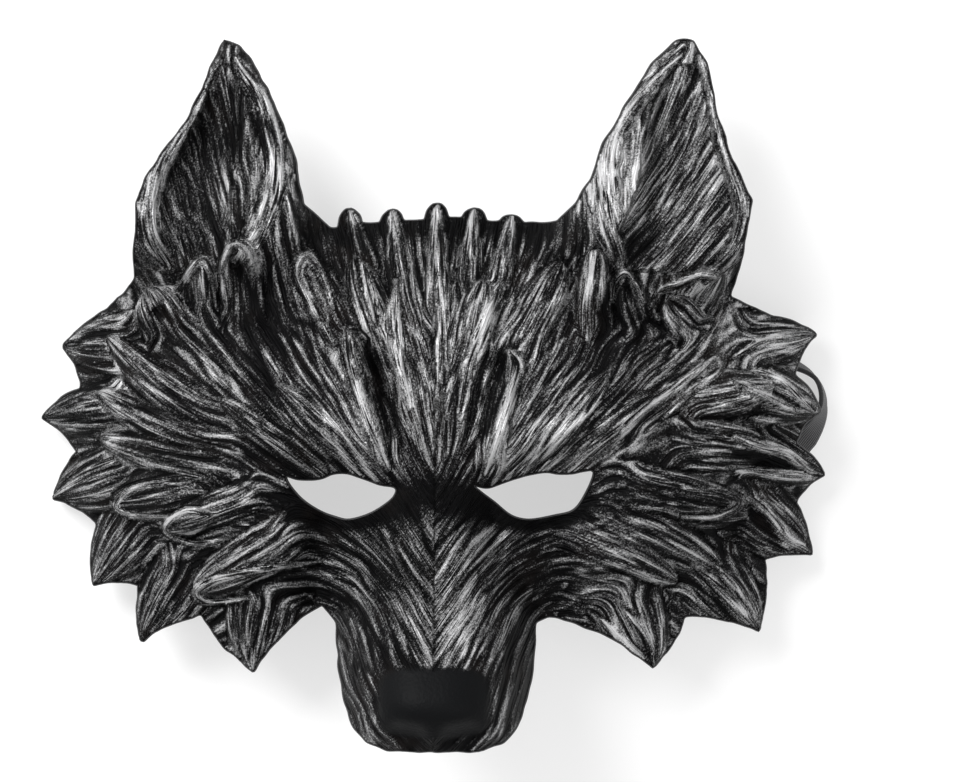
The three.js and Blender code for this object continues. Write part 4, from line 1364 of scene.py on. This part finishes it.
def back_material():
    nodes = Nodes("plain_foam_back")
    place = nodes.place()
    cells = nodes.noise(place, 1500.0, 3.0, 0.6)
    wide = nodes.noise(place, 60.0, 3.0)
    colour = nodes.blend(nodes.ramp(wide, 0.35, 0.7), BACK_DARK, BACK_PALE)
    nodes.finish("Base Color", colour)
    nodes.finish("Roughness", nodes.ramp(wide, 0.3, 0.7, 0.62, 0.78))
    nodes.bump(nodes.math("MULTIPLY_ADD", wide, 2.0, cells), BACK_BUMP, 0.6)
    return nodes.material


def elastic_material():
    """Woven elastic: ribs along the band, crossed by fine weft, from the band's own coordinates."""
    nodes = Nodes("woven_elastic")
    place = nodes.add("ShaderNodeUVMap", uv_map="band").outputs["UV"]
    axes = nodes.split(place)
    rib = nodes.math("SINE", nodes.math("MULTIPLY", axes[1], 2 * math.pi / RIB_SPACING))
    weft = nodes.math("SINE", nodes.math("MULTIPLY", axes[0], 2 * math.pi / WEFT_SPACING))
    cross = nodes.math("MULTIPLY", rib, weft)
    height = nodes.math("MULTIPLY_ADD", cross, 0.4, nodes.math("MULTIPLY", rib, 0.6))
    fuzz = nodes.noise(nodes.place(), 1800.0, 2.0)
    shade = nodes.math("MULTIPLY_ADD", height, 0.3, fuzz)
    colour = nodes.blend(nodes.ramp(shade, 0.1, 0.95), ELASTIC_DARK, ELASTIC_PALE)
    nodes.finish("Base Color", colour)
    nodes.finish("Roughness", 0.85)
    nodes.finish("Sheen Weight", 0.25)
    nodes.bump(nodes.math("MULTIPLY_ADD", fuzz, 0.4, height), WEAVE_BUMP, 0.8)
    return nodes.material


def felt_material():
    nodes = Nodes("black_felt")
    place = nodes.place()
    fibre = nodes.noise(place, 1300.0, 4.0, 0.7)
    colour = nodes.blend(fibre, FELT_DARK, FELT_PALE)
    nodes.finish("Base Color", colour)
    nodes.finish("Roughness", 0.95)
    nodes.finish("Sheen Weight", 0.3)
    nodes.bump(fibre, FELT_BUMP, 0.8)
    return nodes.material


def floor_material():
    nodes = Nodes("pale_floor")
    shade = nodes.noise(nodes.place(), 8.0, 2.0)
    pale = nodes.blend(shade, FLOOR_DARK, FLOOR_PALE)
    nodes.finish("Base Color", pale)
    nodes.finish("Emission Color", WHITE)
    nodes.finish("Emission Strength", FLOOR_GLOW)
    nodes.finish("Roughness", 0.7)
    return nodes.material


# The strap and its pads

def pad_place(pad):
    return pad[0] * HALF_WIDTH, pad[1] * FACE_HEIGHT


def strap_course(back):
    """The places that the strap runs through from pad to pad, and how far it is turned at each."""
    below = PAD_GAP * 2 + PAD_THICKNESS + STRAP_THICKNESS * 1.2
    ends = {}
    for side, pad in PADS.items():
        x, y = pad_place(pad)
        ends[side] = []
        for inward in (STRAP_TAB, 0.0):
            at_x = x - math.copysign(inward, x)
            ends[side].append((at_x, y, float(sample(back, np.array(at_x), np.array(y))) - below))
    route = []
    for across, up, lift, turn in zip(*STRAP_ROUTE.values()):
        angle = math.radians(turn)
        half = (STRAP_WIDTH * math.sin(angle) + STRAP_THICKNESS * math.cos(angle)) / 2
        route.append((across * HALF_WIDTH, up * FACE_HEIGHT, lift * FACE_DEPTH + half + STRAP_FLOOR_GAP))
    return ends["left"] + route + ends["right"][::-1], [0, 0, *STRAP_ROUTE["turn"], 0, 0]


def strap_section():
    """The band's section, by how far each place is across it and out from its middle."""
    side = STRAP_WIDTH / 2
    out = STRAP_THICKNESS / 2
    corner = out * 0.45
    across = np.linspace(-1, 1, 11) * (side - STRAP_EDGE)
    section = [(w, out) for w in across] + [(side, corner), (side, -corner)]
    return section + [(w, -out) for w in across[::-1]] + [(-side, -corner), (-side, corner)]


def strap_piece(back, material):
    points, turns = strap_course(back)
    curve, at = spline(points, STRAP_POINTS)
    turn = np.radians(np.interp(at, np.arange(len(turns)), turns))[:, None]
    ahead = np.gradient(curve, axis=0)
    ahead /= np.linalg.norm(ahead, axis=1)[:, None]
    level = np.cross([0, 0, 1], ahead)
    level /= np.linalg.norm(level, axis=1)[:, None]
    breadth = level * np.cos(turn) + np.cross(ahead, level) * np.sin(turn)
    face = np.cross(ahead, breadth)
    run = np.concatenate([[0], np.cumsum(np.linalg.norm(np.diff(curve, axis=0), axis=1))])
    print("strap length along its middle, mm:", round(float(run[-1]), 1))
    section = strap_section()
    size = len(section)
    rows = [curve[:, None] + breadth[:, None] * w + face[:, None] * t for w, t in section]
    places = np.concatenate(rows, axis=1).reshape(-1, 3)
    places[:, 2] = np.maximum(places[:, 2], 0.02)
    faces = []
    marks = []
    for i in range(len(curve) - 1):
        for j in range(size):
            k = (j + 1) % size
            faces.append((i * size + k, i * size + j, (i + 1) * size + j, (i + 1) * size + k))
            for row, column in ((i, j + 1), (i, j), (i + 1, j), (i + 1, j + 1)):
                marks.append((run[row], section[column % size][0]))
    faces.append(tuple(range(size)))
    marks += [(0.0, section[j][0]) for j in range(size)]
    last = (len(curve) - 1) * size
    faces.append(tuple(last + j for j in reversed(range(size))))
    marks += [(run[-1], section[j][0]) for j in reversed(range(size))]
    piece = new_mesh("elastic_band", places, faces)
    layer = piece.data.uv_layers.new(name="band")
    layer.data.foreach_set("uv", np.array(marks, np.float32).ravel())
    piece.data.materials.append(material)
    return piece


def pad_piece(side, pad, back, material):
    """A rounded rectangle of felt that hugs the back of the mask."""
    x, y = pad_place(pad)
    count = PAD_POINTS
    u, v = np.meshgrid(np.linspace(-1, 1, count), np.linspace(-1, 1, count))
    pull = 1 - 0.055 * (u * v) ** 4
    at_x = x + u * pull * PAD_LENGTH / 2
    at_y = y + v * pull * PAD_WIDTH / 2
    top = sample(back, at_x, at_y) - PAD_GAP
    border = np.maximum(np.abs(u), np.abs(v))
    thin = PAD_THICKNESS * (1 - 0.45 * step(0.85, 1.0, border))
    top_places = np.column_stack([at_x.ravel(), at_y.ravel(), top.ravel()])
    low_places = top_places - np.array([0, 0, 1]) * thin.reshape(-1, 1)
    faces = []
    total = count * count
    for i in range(count - 1):
        for j in range(count - 1):
            a = i * count + j
            quad = (a, a + 1, a + 1 + count, a + count)
            faces.append(quad)
            faces.append(tuple(total + v for v in reversed(quad)))
    rim = list(range(count)) + [i * count + count - 1 for i in range(1, count)]
    rim += [(count - 1) * count + j for j in range(count - 2, -1, -1)]
    rim += [i * count for i in range(count - 2, 0, -1)]
    for a, b in zip(rim, rim[1:] + rim[:1]):
        faces.append((b, a, total + a, total + b))
    piece = new_mesh("felt_pad_" + side, np.vstack([top_places, low_places]), faces)
    piece.data.materials.append(material)
    return piece


# The scene

def area_light(name, place, size, energy):
    light = bpy.data.lights.new(name, "AREA")
    light.size = size
    light.energy = energy
    lamp = add_object(name, light)
    lamp.location = place
    lamp.rotation_euler = (-Vector(place)).to_track_quat("-Z", "Y").to_euler()


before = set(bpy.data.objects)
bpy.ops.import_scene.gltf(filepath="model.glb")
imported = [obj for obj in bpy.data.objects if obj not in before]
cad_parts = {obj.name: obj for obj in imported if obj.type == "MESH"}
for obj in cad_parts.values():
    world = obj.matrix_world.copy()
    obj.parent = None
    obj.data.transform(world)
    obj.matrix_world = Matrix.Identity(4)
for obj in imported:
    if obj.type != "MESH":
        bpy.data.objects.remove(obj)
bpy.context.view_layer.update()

outlines = make_outlines()
shell_low, shell_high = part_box("mask_shell")
drawn = mask_outline()
OFFSET = np.array([
    (shell_low[0] + shell_high[0]) * 500 - (drawn[:, 0].min() + drawn[:, 0].max()) / 2,
    (shell_low[1] + shell_high[1]) * 500 - (drawn[:, 1].min() + drawn[:, 1].max()) / 2,
    shell_low[2] * 1000,
])

maps = front_maps()
back = back_map(maps["height"])
places, faces, front, front_faces = mask_mesh(maps, back, outlines)
mask = new_mesh("mask_moulding", places, faces)
mesh = mask.data
count = len(places)
fresh = len(front.places)
# The silver map holds the brushed silver and also the painted highlight and painted shadow spots.
for name in ("silver", "nose", "strand"):
    values = np.zeros(count)
    values[:fresh] = sample(maps[name], front.places[:, 0], front.places[:, 1])
    if name == "silver":
        for chain, _ in front.loops:
            values[chain] = 0
    add_values(mesh, name, values)
mesh.materials.append(fur_material())
mesh.materials.append(back_material())
slots = np.ones(len(mesh.polygons), np.int32)
slots[:front_faces] = 0
mesh.polygons.foreach_set("material_index", slots)
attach(mask, "root")
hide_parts("mask_shell")

strap = strap_piece(back, elastic_material())
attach(strap, "root")
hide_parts("elastic_strap")

felt = felt_material()
for side, pad in PADS.items():
    piece = pad_piece(side, pad, back, felt)
    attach(piece, "root")
    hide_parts("strap_patch_" + side)

floor_mesh = bpy.data.meshes.new("floor")
corners = [(x * FLOOR_REACH, y * FLOOR_REACH, 0) for x, y in ((-1, -1), (1, -1), (1, 1), (-1, 1))]
floor_mesh.from_pydata(corners, [], [(0, 1, 2, 3)])
floor_mesh.materials.append(floor_material())
floor = add_object("floor", floor_mesh)
floor.location.z = -FLOOR_DROP

area_light("key", *KEY_LIGHT)
area_light("fill", *FILL_LIGHT)

world = bpy.data.worlds.new("studio")
world.use_nodes = True
sky = world.node_tree.nodes["Background"]
sky.inputs["Color"].default_value = WHITE
sky.inputs["Strength"].default_value = SURROUNDING_LIGHT
bpy.context.scene.world = world
bpy.context.scene.view_settings.view_transform = "Standard"

lens = bpy.data.cameras.new("camera")
lens.sensor_width = SENSOR
lens.lens = SENSOR * (CAMERA_HEIGHT * 1000 - PICTURE_WIDTH_AT) / PICTURE_WIDTH
camera = add_object("camera", lens)
camera.location = (*((PICTURE_MIDDLE + OFFSET[:2]) / 1000), CAMERA_HEIGHT)
bpy.context.scene.camera = camera
